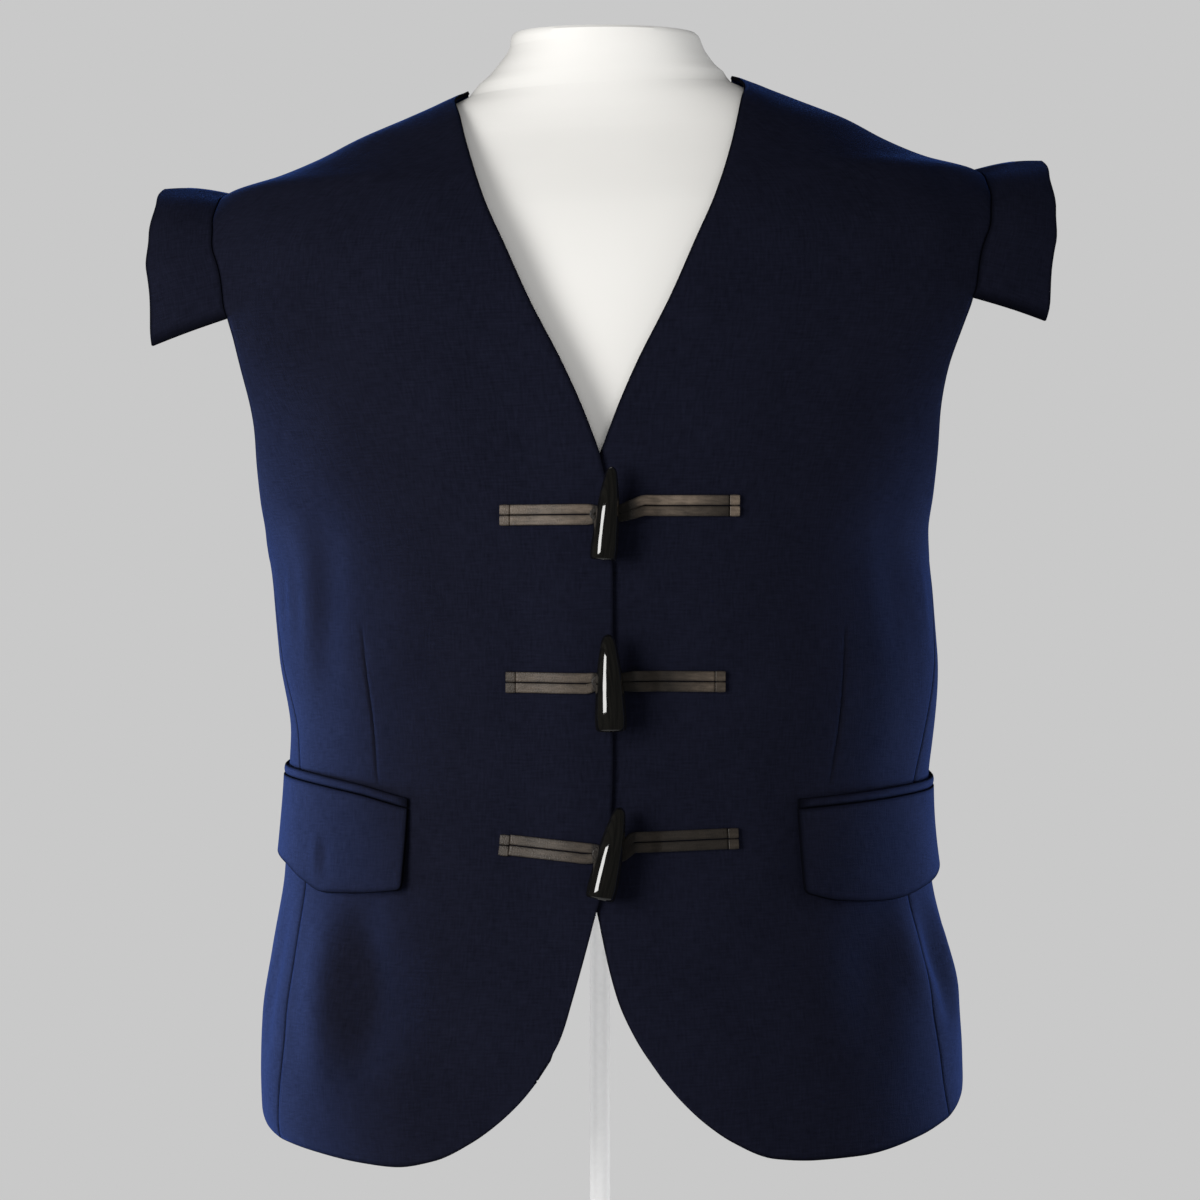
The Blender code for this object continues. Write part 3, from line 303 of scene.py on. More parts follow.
# Edges that run round the side, in degrees around and height
Turn = namedtuple("Turn", "around height")
FRONT_SEAM = (
    Turn(68.0, 0.0125),
    Turn(63.5, 0.0800),
    Turn(63.5, 0.1500),
    Turn(72.0, 0.2400),
    Turn(79.5, 0.3000),
    Turn(84.5, 0.3460),
)
FRONT_ARMHOLE = (
    Turn(84.5, 0.346),
    Turn(78.0, 0.360),
    Turn(71.3, 0.381),
    Turn(65.2, 0.405),
    Turn(60.0, 0.429),
    Turn(56.3, 0.453),
    Turn(54.8, 0.477),
    Turn(54.9, 0.491),
)
FRONT_WING_SEAM = (
    Turn(54.9, 0.491),
    Turn(56.6, 0.515),
    Turn(59.6, 0.532),
    Turn(64.4, 0.5465),
    Turn(74.6, 0.5615),
    Turn(90.0, SHOULDER_TIP_HEIGHT),
)
BACK_SEAM = (
    Turn(112.0, 0.0815),
    Turn(110.0, 0.1700),
    Turn(111.0, 0.2400),
    Turn(112.0, 0.3000),
    Turn(112.0, 0.3490),
)
BACK_ARMHOLE = (
    Turn(112.0, 0.349),
    Turn(112.8, 0.375),
    Turn(115.0, 0.410),
    Turn(119.0, 0.450),
    Turn(121.8, 0.480),
    Turn(122.0, 0.512),
)
BACK_WING_SEAM = (
    Turn(122.0, 0.512),
    Turn(119.4, 0.531),
    Turn(115.0, 0.5455),
    Turn(105.0, 0.5615),
    Turn(90.0, SHOULDER_TIP_HEIGHT),
)
SIDE_HEM = (
    Turn(68.0, 0.0125),
    Turn(80.0, 0.0205),
    Turn(90.0, 0.0300),
    Turn(101.0, 0.0520),
    Turn(112.0, 0.0815),
)
UNDERARM = (
    Turn(84.5, 0.346),
    Turn(97.0, 0.337),
    Turn(112.0, 0.349),
)
BACK_HEM = (
    Turn(112.0, 0.0815),
    Turn(125.0, 0.1010),
    Turn(140.0, 0.1150),
    Turn(160.0, 0.1265),
    Turn(180.0, 0.1300),
)
BACK_NECK = (
    Turn(90.0, NECK_HEIGHT),
    Turn(121.0, 0.6250),
    Turn(141.0, 0.6200),
    Turn(160.0, 0.6155),
    Turn(180.0, 0.6140),
)
FLAP_TOPS = {
    "left": (Turn(32.4, 0.2015), Turn(46.0, 0.2095), Turn(70.0, 0.2162), Turn(98.0, 0.2190)),
    "right": (Turn(32.4, 0.2012), Turn(64.0, 0.2075), Turn(98.0, 0.2130)),
}
FLAP_BOTTOMS = {
    "left": (
        Turn(32.6, 0.1546),
        Turn(42.0, 0.1522),
        Turn(53.0, 0.1512),
        Turn(62.0, 0.1572),
        Turn(72.0, 0.1655),
        Turn(96.0, 0.1745),
    ),
    "right": (
        Turn(32.6, 0.1530),
        Turn(40.0, 0.1480),
        Turn(52.0, 0.1465),
        Turn(70.0, 0.1530),
        Turn(96.0, 0.1680),
    ),
}

# The wing's outer edge, from its ends up to the shoulder tip, as steps from the armhole
Reach = namedtuple("Reach", "share out forward up")
WING_REACH = (
    Reach(0.0, 0.0443, -0.0090, -0.0145),
    Reach(0.25, 0.0421, -0.0085, -0.0095),
    Reach(0.5, 0.0389, -0.0070, -0.0055),
    Reach(0.75, 0.0382, -0.0040, 0.0),
    Reach(1.0, 0.0415, 0.0, 0.0045),
)

# Soft folds of the cloth: a run from one place to another, positive depth for a ridge
Fold = namedtuple("Fold", "side around_1 height_1 around_2 height_2 half_width depth")
FOLDS = (
    Fold("left", 48.0, 0.385, 55.0, 0.255, 0.014, -0.0022),
    Fold("left", 57.0, 0.370, 62.0, 0.265, 0.013, 0.0020),
    Fold("left", 53.0, 0.150, 49.0, 0.045, 0.020, 0.0050),
    Fold("left", 36.0, 0.130, 32.0, 0.060, 0.022, -0.0028),
    Fold("left", 72.0, 0.150, 76.0, 0.050, 0.014, -0.0024),
    Fold("right", 55.0, 0.375, 60.0, 0.270, 0.015, -0.0018),
    Fold("right", 68.0, 0.140, 73.0, 0.060, 0.012, -0.0032),
    Fold("right", 77.0, 0.150, 80.0, 0.060, 0.012, 0.0030),
    Fold("right", 48.0, 0.140, 42.0, 0.050, 0.020, -0.0022),
    Fold("right", 58.0, 0.150, 61.0, 0.075, 0.015, 0.0026),
    Fold("both", 62.0, 0.560, 46.0, 0.500, 0.016, -0.0020),
    Fold("both", 104.0, 0.300, 100.0, 0.130, 0.016, 0.0024),
    Fold("both", 118.0, 0.340, 122.0, 0.200, 0.016, -0.0022),
    Fold("both", 134.0, 0.420, 128.0, 0.260, 0.020, 0.0024),
    Fold("both", 150.0, 0.300, 146.0, 0.160, 0.022, 0.0026),
    Fold("both", 168.0, 0.330, 166.0, 0.170, 0.018, -0.0022),
)
DEGREE_LENGTH = 0.0030
FOLD_OVERRUN = 0.15
FOLD_FADE = 1.6

# How the whole hangs a little askew: the rise for each metre towards the picture's right, and how
# far the sides sway that way
Sit = namedtuple("Sit", "height rise sway")
SITS = (
    Sit(-0.020, 0.019, 0.0110),
    Sit(0.0, 0.019, 0.0110),
    Sit(0.020, 0.040, 0.0080),
    Sit(0.030, 0.046, 0.0070),
    Sit(0.060, 0.040, 0.0062),
    Sit(0.120, 0.012, 0.0050),
    Sit(0.150, 0.0, 0.0050),
    Sit(0.215, 0.0, 0.0055),
    Sit(0.249, 0.0, 0.0080),
    Sit(0.285, 0.0, 0.0055),
    Sit(0.325, 0.0, 0.0020),
    Sit(0.365, 0.010, -0.0018),
    Sit(0.450, 0.028, -0.0018),
    Sit(0.489, 0.028, 0.0),
    Sit(0.519, 0.029, 0.0002),
    Sit(0.545, 0.030, 0.0008),
    Sit(0.575, 0.031, 0.0010),
    Sit(0.603, 0.046, 0.0008),
    Sit(0.629, 0.058, 0.0),
    Sit(0.660, 0.0, 0.0),
)
SWAY_REACH = 0.20
FORM_SITS_ABOVE = 0.325

# Fastenings from the top down, as places in the picture's plane: the toggle's middle, its lean to
# the right in degrees, and where each strap ends and where its strands part
Fastening = namedtuple("Fastening", "middle lean left_end left_part right_end right_part")
FASTENINGS = (
    Fastening(
        (0.0042, 0.3696), 5.5,
        (-0.0566, 0.3698), (-0.0080, 0.3695), (0.0792, 0.3738), (0.0260, 0.3742),
    ),
    Fastening(
        (0.0053, 0.2750), -1.8,
        (-0.0538, 0.2743), (-0.0080, 0.2738), (0.0702, 0.2746), (0.0210, 0.2752),
    ),
    Fastening(
        (0.0056, 0.1767), 12.8,
        (-0.0572, 0.1815), (-0.0080, 0.1768), (0.0775, 0.1849), (0.0190, 0.1829),
    ),
)

# How light each strap and each sewn end is, from the top down: the leather's own colour with painted light
# and shade in it. The leather is painted dark round the horn, as painted shade under it and painted shadow
# to its right, and a right strap's tone changes at steps from where its strands part.
Tones = namedtuple("Tones", "left right_near right_far right_low tab_left tab_right")
TONES = (
    Tones(0.72, 1.10, 0.05, 0.45, 0.60, 0.95),
    Tones(0.50, 0.10, 0.66, 0.90, 0.28, 0.38),
    Tones(0.33, 0.10, 0.10, 0.80, 0.26, 0.18),
)
HORN_SHADE_TONE = 0.05
HORN_SHADE_START = 0.0040
HORN_SHADE_FADE = 0.001
RIGHT_TONE_STEPS = (-0.008, 0.003, 0.018)

# Each horn's length and how stout it is, from the top down
Horn = namedtuple("Horn", "length stoutness")
HORNS = (Horn(0.0530, 0.94), Horn(0.0548, 1.10), Horn(0.0534, 1.05))

# A horn's radius along its length, from the flat wide end to the tip
Girth = namedtuple("Girth", "share radius")
HORN_GIRTHS = (
    Girth(0.0, 0.0070),
    Girth(0.02, 0.0079),
    Girth(0.12, 0.0082),
    Girth(0.30, 0.0077),
    Girth(0.50, 0.0070),
    Girth(0.70, 0.0058),
    Girth(0.85, 0.0044),
    Girth(0.96, 0.0030),
    Girth(1.0, 0.0014),
)

# Creases that are too fine for the solids, in the same form as FOLDS
CREASES = (
    Fold("left", 61.0, 0.345, 64.0, 0.285, 0.006, -0.0009),
    Fold("left", 65.5, 0.350, 69.0, 0.295, 0.005, 0.0007),
    Fold("left", 70.0, 0.345, 73.0, 0.300, 0.006, -0.0006),
    Fold("left", 58.0, 0.186, 57.0, 0.158, 0.0045, 0.0011),
    Fold("left", 54.6, 0.186, 54.0, 0.158, 0.0036, -0.0009),
    Fold("left", 42.0, 0.150, 37.0, 0.055, 0.013, -0.0030),
    Fold("right", 62.0, 0.345, 66.0, 0.275, 0.007, -0.0007),
    Fold("right", 70.5, 0.350, 73.5, 0.290, 0.006, 0.0007),
    Fold("both", 44.0, 0.535, 30.0, 0.470, 0.010, -0.0007),
    Fold("both", 24.0, 0.240, 22.0, 0.120, 0.014, 0.0006),
    Fold("both", 140.0, 0.560, 150.0, 0.470, 0.010, -0.0009),
    Fold("both", 128.0, 0.300, 131.0, 0.180, 0.008, -0.0009),
    Fold("both", 158.0, 0.290, 157.0, 0.180, 0.009, 0.0009),
    Fold("both", 175.0, 0.300, 174.0, 0.190, 0.010, 0.0008),
)

# Slow waves of the cloth: waves for each metre around and up, height and start. They die out within
# a few degrees of the centre lines, and start elsewhere on the other side.
Wave = namedtuple("Wave", "around up rise start")
WAVES = (
    Wave(7.0, 2.3, 0.00022, 0.4),
    Wave(-4.1, 9.0, 0.00016, 1.9),
    Wave(13.0, -5.2, 0.00010, 3.1),
    Wave(3.0, 17.0, 0.00007, 5.0),
)
WAVE_REST = 14.0
WAVE_OTHER_START = 2.2

# Darts from the chest down to the pocket, as places in the picture's plane. Each is sunk into the
# front, fades at its ends and is painted darker along its line, as painted shade in its crease.
DART = (Place(0.1390, 0.3060), Place(0.1372, 0.2800), Place(0.1340, 0.2500), Place(0.1296, 0.2150))
DART_DEPTH = 0.0007
DART_HALF_WIDTH = 0.0008
DART_REACH = 0.0055
DART_END_FADE = 0.35
DART_PAINTED_SHADE = 0.7

# What each sheet was cut to: the width and length of the rectangle that it came from, and its area
Cut = namedtuple("Cut", "width length area")

# Brightness of the background, of the room that lights the pieces, from its sides to overhead, of
# what polished pieces mirror, and of the floor
BACKGROUND_LEVEL = 0.584
ROOM_LEVEL = 0.44
OVERHEAD_LEVEL = 0.16
OVERHEAD_RISE = 0.65
MIRRORED_LEVEL = 0.05
FLOOR_LEVEL = 0.80
FLOOR_RADIUS = 0.47
FLOOR_FADE_START = 0.30

# Lights, with their width and height, watts and spread in degrees. One may reach the pieces of a
# single slot only, and be shaded by those of a single slot only.
Light = namedtuple(
    "Light", "name place aim size power colour only_on blocked_by spread", defaults=(None, None, 180.0),
)
MIDDLE = (0.0, 0.0, 0.45)
POLE_MIDDLE = (0.0, 0.0, 0.20)
WHITE = (1.0, 1.0, 1.0)
BLUE = (0.45, 0.68, 1.0)
KEY_LIGHT = Light("key", (-1.10, -1.30, 0.56), MIDDLE, (0.75, 1.0), 0.0, (1.0, 0.99, 0.97))
LIGHTS = (
    Light("side", (1.70, 0.05, 0.50), MIDDLE, (0.70, 1.0), 7.5, (0.96, 0.98, 1.0)),
    Light("rim_left", (-0.85, 0.24, 0.22), (-0.20, 0.0, 0.23), (0.35, 0.40), 11.0, BLUE, "wool", None, 80.0),
    Light("rim_right", (0.85, 0.32, 0.20), (0.20, 0.0, 0.20), (0.35, 0.40), 6.5, BLUE, "wool", None, 80.0),
    Light("front", (0.10, -2.10, 0.62), (0.0, 0.0, 0.56), (0.90, 0.90), 12.5, WHITE, "form"),
    Light("low", (-1.75, -1.0, 0.25), POLE_MIDDLE, (0.50, 0.50), 32.0, WHITE, "stand", "stand"),
    Light("low", (1.75, -1.0, 0.25), POLE_MIDDLE, (0.50, 0.50), 32.0, WHITE, "stand", "stand"),
)


def smooth(knots, values, at):
    """Values between knots, by a cubic whose slopes keep it from overshooting them."""
    knots = np.asarray(knots, float)
    values = np.asarray(values, float)
    at = np.clip(np.asarray(at, float), knots[0], knots[-1])
    step = np.diff(knots)
    rise = np.diff(values) / step
    slope = np.zeros(len(knots))
    slope[0] = rise[0]
    slope[-1] = rise[-1]
    same_way = rise[:-1] * rise[1:] > 0
    before = 2 * step[1:] + step[:-1]
    after = step[1:] + 2 * step[:-1]
    safe_left = np.where(same_way, rise[:-1], 1.0)
    safe_right = np.where(same_way, rise[1:], 1.0)
    mean = (before + after) / (before / safe_left + after / safe_right)
    slope[1:-1] = np.where(same_way, mean, 0.0)
    i = np.clip(np.searchsorted(knots, at, side="right") - 1, 0, len(step) - 1)
    t = (at - knots[i]) / step[i]
    start = (1 + 2 * t) * (1 - t) ** 2 * values[i] + t * (1 - t) ** 2 * step[i] * slope[i]
    end = t**2 * (3 - 2 * t) * values[i + 1] + t**2 * (t - 1) * step[i] * slope[i + 1]
    return start + end


def column(rows, name):
    """One field of every row."""
    return [getattr(row, name) for row in rows]


def eased(share):
    """A share from 0 to 1 that starts and ends gently."""
    return share**2 * (3 - 2 * share)


def unit(vectors):
    return vectors / np.linalg.norm(vectors, axis=-1, keepdims=True)


def run_of(points):
    """Distance of each point of a row from the first one, along the row."""
    steps = np.linalg.norm(np.diff(points, axis=0), axis=1)
    return np.concatenate([[0.0], np.cumsum(steps)])


def one_side(around):
    """Degrees around as on the side that the panels are drawn for."""
    return np.where(around > 180, 360 - around, around)


def ring_at(rings, height):
    """The sizes and squareness of a body's ring at a height."""
    heights = column(rings, "height")
    names = ("half_width", "front_depth", "back_depth", "squareness")
    return [smooth(heights, column(rings, name), height) for name in names]


def on_ring(half_width, front_depth, back_depth, squareness, around):
    """Plane place on a superellipse whose front and back halves have their own depths."""
    turn = np.radians(around)
    across = np.sin(turn)
    ahead = np.cos(turn)
    power = 2 / squareness
    x = half_width * np.sign(across) * np.abs(across) ** power
    depth = np.where(ahead > 0, front_depth, back_depth)
    y = -depth * np.sign(ahead) * np.abs(ahead) ** power
    return x, y


def envelope(around, height):
    """Points of the surface that the cloth lies on, before its folds."""
    x, y = on_ring(*ring_at(CLOTH_RINGS, height), around)
    return np.stack(np.broadcast_arrays(x, y, height), axis=-1)


def outward(around, height):
    """Unit normals of the envelope."""
    turn = 0.25
    lift = 0.0005
    height = np.clip(height, CLOTH_RINGS[0].height + lift, CLOTH_RINGS[-1].height - lift)
    sideways = envelope(around + turn, height) - envelope(around - turn, height)
    upwards = envelope(around, height + lift) - envelope(around, height - lift)
    return unit(np.cross(sideways, upwards))


def around_at(own_side, height):
    """Degrees around of a place that the front view shows this far from the centre line."""
    half_width, _, _, squareness = ring_at(CLOTH_RINGS, height)
    share = np.clip(np.abs(own_side) / half_width, 0.0, 1.0)
    return np.sign(own_side) * np.degrees(np.arcsin(share ** (squareness / 2)))


def fold_lift(around, height, side):
    """How far folds and creases lift the cloth off the envelope."""
    lift = np.zeros(np.broadcast(around, height).shape)
    crossed = around > 180
    turned = one_side(around)
    other = {"left": "right", "right": "left"}[side]
    for fold in FOLDS + CREASES:
        here = fold.side in ("both", side)
        there = fold.side in ("both", other)
        active = np.where(crossed, there, here)
        run = np.array([(fold.around_2 - fold.around_1) * DEGREE_LENGTH, fold.height_2 - fold.height_1])
        along_x = (turned - fold.around_1) * DEGREE_LENGTH
        along_z = height - fold.height_1
        share = (along_x * run[0] + along_z * run[1]) / (run @ run)
        apart = np.hypot(along_x - share * run[0], along_z - share * run[1])
        fade = np.clip(FOLD_FADE * (0.5 + FOLD_OVERRUN - np.abs(share - 0.5)), 0.0, 1.0)
        bell = np.exp(-((apart / fold.half_width) ** 2))
        lift = lift + active * fold.depth * eased(fade) * bell
    return lift


def wave_lift(around, height, side):
    """Slow waves of the cloth, still at the centre front and back, where two sides meet."""
    turned = one_side(around)
    other_side = (around > 180) != (side == "left")
    away = np.clip(np.abs(turned) / WAVE_REST, 0.0, 1.0) * np.clip((180 - turned) / WAVE_REST, 0.0, 1.0)
    lift = np.zeros(np.broadcast(around, height).shape)
    for wave in WAVES:
        start = wave.start + np.where(other_side, WAVE_OTHER_START, 0.0)
        phase = turned * DEGREE_LENGTH * wave.around + height * wave.up
        lift = lift + wave.rise * np.sin(2 * math.pi * phase + start)
    return lift * away * bpy.context.scene.waistcoat_cloth.waviness


def relief(around, height, side):
    """Folds, creases and slow waves together."""
    return fold_lift(around, height, side) + wave_lift(around, height, side)


def lap(around, height):
    """How far the lapping front stands off the one that it covers."""
    own_side = envelope(around, height)[..., 0]
    towards_centre = np.clip((LAP_REACH - own_side) / LAP_FADE, 0.0, 1.0)
    above_gap = np.clip((height - LAP_BOTTOM) / LAP_BOTTOM_FADE, 0.0, 1.0)
    below_neck = np.clip((LAP_TOP - height) / LAP_TOP_FADE, 0.0, 1.0)
    share = towards_centre * above_gap * below_neck
    return LAP_RISE * eased(share)


def dense(places):
    """A close row of places on a smooth curve through the given ones."""
    places = np.array(places, float)
    run = run_of(places)
    at = np.linspace(0.0, run[-1], CURVE_PLACES)
    return np.stack([smooth(run, places[:, 0], at), smooth(run, places[:, 1], at)], axis=-1)


def from_front_view(places):
    """A smooth edge drawn in the picture's plane, as places around and up."""
    curve = dense(places)
    return np.stack([around_at(curve[:, 0], curve[:, 1]), curve[:, 1]], axis=-1)


def from_turns(turns):
    """A smooth edge drawn in degrees and heights."""
    curve = dense([(turn.around * DEGREE_LENGTH, turn.height) for turn in turns])
    curve[:, 0] /= DEGREE_LENGTH
    return curve


def spaced(curve, count, ease=1.0):
    """Places along a curve at equal distances on the cloth, or closer at its start where ease > 1."""
    run = run_of(envelope(curve[:, 0], curve[:, 1]))
    at = run[-1] * np.linspace(0.0, 1.0, count + 1) ** ease
    return np.stack([np.interp(at, run, curve[:, 0]), np.interp(at, run, curve[:, 1])], axis=-1)


def joined(*parts):
    """Edges that follow each other, with their shared places kept once."""
    return np.concatenate([parts[0]] + [part[1:] for part in parts[1:]])


def mirrored_turns(edge):
    """An edge's places on the other side of the centre back."""
    return np.stack([360 - edge[:, 0], edge[:, 1]], axis=-1)


def envelope_level(points):
    """Zero on the envelope, negative inside it and positive outside."""
    half_width, front_depth, back_depth, squareness = ring_at(CLOTH_RINGS, points[..., 2])
    depth = np.where(points[..., 1] < 0, front_depth, back_depth)
    across = np.abs(points[..., 0] / half_width) ** squareness
    ahead = np.abs(points[..., 1] / depth) ** squareness
    return (across + ahead) ** (1 / squareness) - 1


def settled(points):
    """Nearby points brought onto the envelope, square to it, as places around and up."""
    points = points.copy()
    probe = 0.0002
    for _ in range(SETTLE_ROUNDS):
        slope = np.zeros(points.shape)
        for axis in range(3):
            step = np.zeros(3)
            step[axis] = probe
            rise = envelope_level(points + step) - envelope_level(points - step)
            slope[..., axis] = rise / (2 * probe)
        size = (slope**2).sum(axis=-1, keepdims=True)
        points -= envelope_level(points)[..., None] * slope / size
    half_width, front_depth, back_depth, squareness = ring_at(CLOTH_RINGS, points[..., 2])
    x = points[..., 0]
    y = points[..., 1]
    depth = np.where(y < 0, front_depth, back_depth)
    across = np.sign(x) * np.abs(x / half_width) ** (squareness / 2)
    ahead = -np.sign(y) * np.abs(y / depth) ** (squareness / 2)
    around = np.degrees(np.arctan2(across, ahead))
    around = np.where((x < 0) & (y > 0), around + 360, around)
    return np.stack([around, points[..., 2]], axis=-1)


def patch(bottom, top, start, end):
    """Rows of places between four edges: start and end run upwards, bottom and top from start to end."""
    u = np.linspace(0.0, 1.0, len(bottom))[None, :, None]
    v = np.linspace(0.0, 1.0, len(start))[:, None, None]
    edges = [envelope(edge[:, 0], edge[:, 1]) for edge in (bottom, top, start, end)]
    low_edge, high_edge, first_edge, last_edge = edges
    between_rows = (1 - v) * low_edge[None] + v * high_edge[None]
    between_columns = (1 - u) * first_edge[:, None] + u * last_edge[:, None]
    low = (1 - u) * low_edge[0] + u * low_edge[-1]
    high = (1 - u) * high_edge[0] + u * high_edge[-1]
    spread = between_rows + between_columns - (1 - v) * low - v * high
    places = np.empty(spread.shape[:2] + (2,))
    places[1:-1, 1:-1] = settled(spread[1:-1, 1:-1])
    places[0] = bottom
    places[-1] = top
    places[:, 0] = start
    places[:, -1] = end
    return places


def with_margins(places):
    """Adds the close lines of MARGINS inside all four edges."""
    for _ in range(2):
        points = envelope(places[..., 0], places[..., 1])
        added = []
        for edge, inner in ((0, 1), (-1, -2)):
            apart = np.linalg.norm(points[inner] - points[edge], axis=-1)[:, None]
            step = places[inner] - places[edge]
            added.append([places[edge] + step * np.minimum(m / apart, MARGIN_LIMIT) for m in MARGINS])
        near, far = added
        rows = [places[0]] + near + list(places[1:-1]) + far[::-1] + [places[-1]]
        places = np.array(rows).swapaxes(0, 1)
    return places


def by_edge(rows, columns, depths):
    """A grid of zeros with the largest of these depths on the lines inside each edge."""
    grid = np.zeros((rows, columns))
    for line, depth in enumerate(depths):
        for lines in (grid[line], grid[-1 - line], grid[:, line], grid[:, -1 - line]):
            np.maximum(lines, depth, out=lines)
    return grid


def inset_rim(points):
    """Moves a panel's rim in along the cloth, square to the rim, so that neighbours stay apart."""
    moved = points.copy()
    for grid, target in ((points, moved), (points.swapaxes(0, 1), moved.swapaxes(0, 1))):
        for edge, inner in ((0, 1), (-1, -2)):
            along = unit(np.gradient(grid[edge], axis=0))
            inwards = grid[inner] - grid[edge]
            inwards -= (inwards * along).sum(axis=1, keepdims=True) * along
            target[edge] += unit(inwards) * RIM_INSET
    return moved


def seated(points):
    """Where places drawn evenly lie once the whole hangs a little askew."""
    heights = column(SITS, "height")
    moved = points.copy()
    sway = smooth(heights, column(SITS, "sway"), points[..., 2])
    moved[..., 0] += sway * (points[..., 0] / SWAY_REACH) ** 2
    moved[..., 2] += smooth(heights, column(SITS, "rise"), points[..., 2]) * points[..., 0]
    return moved


def mesh_of(shape, name):
    """A new mesh with the shape of a bmesh, which is freed."""
    mesh = bpy.data.meshes.new(name)
    shape.to_mesh(mesh)
    shape.free()
    return mesh


def grid_mesh(name, points, flat, layer="nap", values=None):
    """A mesh on a plain grid: points are its places, and flat is the same grid laid out in metres.

    Its material reads the named layer. Unless values are given, that is how much nap is left, which also
    sets how much darker the wool's colour is painted as painted shade towards its edges.
    """
    rows, columns = points.shape[:2]
    shape = bmesh.new()
    bmesh.ops.create_grid(shape, x_segments=columns - 1, y_segments=rows - 1, size=0.5)
    mesh = mesh_of(shape, name)
    plane = np.empty(rows * columns * 3)
    mesh.vertices.foreach_get("co", plane)
    plane = plane.reshape(-1, 3) + 0.5
    order = np.rint(plane[:, 1] * (rows - 1)) * columns + np.rint(plane[:, 0] * (columns - 1))
    order = order.astype(int)
    placed = points.reshape(-1, 3)[order] + HEM_LEVEL
    mesh.vertices.foreach_set("co", placed.ravel())
    corners = np.empty(len(mesh.loops), int)
    mesh.loops.foreach_get("vertex_index", corners)
    chart = mesh.uv_layers.new(name="UVMap")
    chart.data.foreach_set("uv", flat.reshape(-1, 2)[order][corners].ravel())
    if values is None:
        values = 1 - by_edge(rows, columns, [1 - share for share in EDGE_NAP_AND_SHADE])
    mesh.attributes.new(layer, "FLOAT", "POINT").data.foreach_set("value", values.reshape(-1)[order])
    return mesh


def to_piece(mesh, node, slot):
    """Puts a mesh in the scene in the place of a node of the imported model."""
    mesh.shade_smooth()
    mesh.materials.append(finish_of(slot))
    piece = bpy.data.objects.new(mesh.name, mesh)
    bpy.context.scene.collection.objects.link(piece)
    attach(piece, "root")
    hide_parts(node)
    light_group(slot).objects.link(piece)
    return piece


def to_crisp_piece(mesh, node, slot):
    """A hard piece, smooth but for its crisp edges."""
    to_piece(mesh, node, slot)
    mesh.set_sharp_from_angle(angle=math.radians(CRISP_ANGLES[slot]))


def to_cloth(mesh, node):
    """A piece of wool, with its own finish on the faces along its cut edges."""
    piece = to_piece(mesh, node, "wool")
    mesh.materials.append(finish_of("wool_edge"))
    nap = np.empty(len(mesh.vertices))
    mesh.attributes["nap"].data.foreach_get("value", nap)
    for face in mesh.polygons:
        face.material_index = int(nap[list(face.vertices)].min() <= EDGE_NAP_AND_SHADE[0])
    return piece


def thicken(piece, thickness, round_off):
    """Gives a sheet its thickness and rounds its cut edges."""
    wall = piece.modifiers.new("Thickness", "SOLIDIFY")
    wall.thickness = thickness
    wall.offset = 0.0
    bevel = piece.modifiers.new("Rounded edge", "BEVEL")
    bevel.width = round_off
    bevel.segments = 2
    bevel.limit_method = "ANGLE"
    bevel.angle_limit = math.radians(CUT_EDGE_ANGLE)
    bevel.harden_normals = True


def mirrored(points, side):
    """Points drawn for the picture's right, on their own side."""
    return points * np.array([-1.0, 1.0, 1.0]) if side == "left" else points


def side_mesh(name, points, flat, side, flipped_on="left"):
    """A sheet drawn for the right, put on its own side with its faces outwards."""
    mesh = grid_mesh(name, seated(mirrored(points, side)), flat)
    if side == flipped_on:
        mesh.flip_normals()
    return mesh


def laid_flat(places):
    """Places around and up, unrolled into metres."""
    return np.stack([places[..., 0] * DEGREE_LENGTH, places[..., 1]], axis=-1)


def cloth_panel(node, places, side, lapping=False):
    """A panel of single cloth with the folds of its side."""
    places = with_margins(places)
    around = places[..., 0]
    height = places[..., 1]
    normals = outward(around, height)
    lift = relief(around, height, side)
    turned_in = by_edge(*around.shape, EDGE_TURN)
    if lapping:
        turned_in[:, :len(EDGE_TURN)] *= height[:, :len(EDGE_TURN)] > V_HEIGHT
        lift = lift + lap(around, height)
    lift = lift - turned_in
    middle = inset_rim(envelope(around, height) + normals * lift[..., None])
    piece = to_cloth(side_mesh(f"cloth_{node}", middle, laid_flat(places), side), node)
    thicken(piece, CLOTH, EDGE_ROUND)
    return piece


def front_patch(lap_edge, lobe):
    """Places of a front, from the cutaway's hem up to the shoulder seam."""
    rows = SEAM_ROWS + LOWER_ARMHOLE_ROWS + WING_ROWS
    start = joined(
        spaced(from_front_view(lap_edge), LAP_ROWS, LAP_EASE),
        spaced(from_front_view(NECKLINE), rows - LAP_ROWS),
    )
    end = joined(
        spaced(from_turns(FRONT_SEAM), SEAM_ROWS),
        spaced(from_turns(FRONT_ARMHOLE), LOWER_ARMHOLE_ROWS),
        spaced(from_turns(FRONT_WING_SEAM), WING_ROWS),
    )
    foot = envelope(np.array(FRONT_SEAM[0].around), np.array(FRONT_SEAM[0].height))
    hem = (lap_edge[0],) + lobe + (Place(float(foot[0]), FRONT_SEAM[0].height),)
    bottom = spaced(from_front_view(hem), FRONT_COLUMNS)
    bottom[-1] = end[0]
    return patch(bottom, shoulder_seam(FRONT_COLUMNS), start, end)


def shoulder_seam(count):
    """The ridge from the neck to the shoulder tip."""
    heights = np.linspace(NECK_HEIGHT, SHOULDER_TIP_HEIGHT, CURVE_PLACES)
    return spaced(np.stack([np.full(CURVE_PLACES, 90.0), heights], axis=-1), count)


def side_patch():
    """Places of a panel under the arm."""
    return patch(
        spaced(from_turns(SIDE_HEM), SIDE_COLUMNS),
        spaced(from_turns(UNDERARM), SIDE_COLUMNS),
        spaced(from_turns(FRONT_SEAM), SEAM_ROWS),
        spaced(from_turns(BACK_SEAM), SEAM_ROWS),
    )


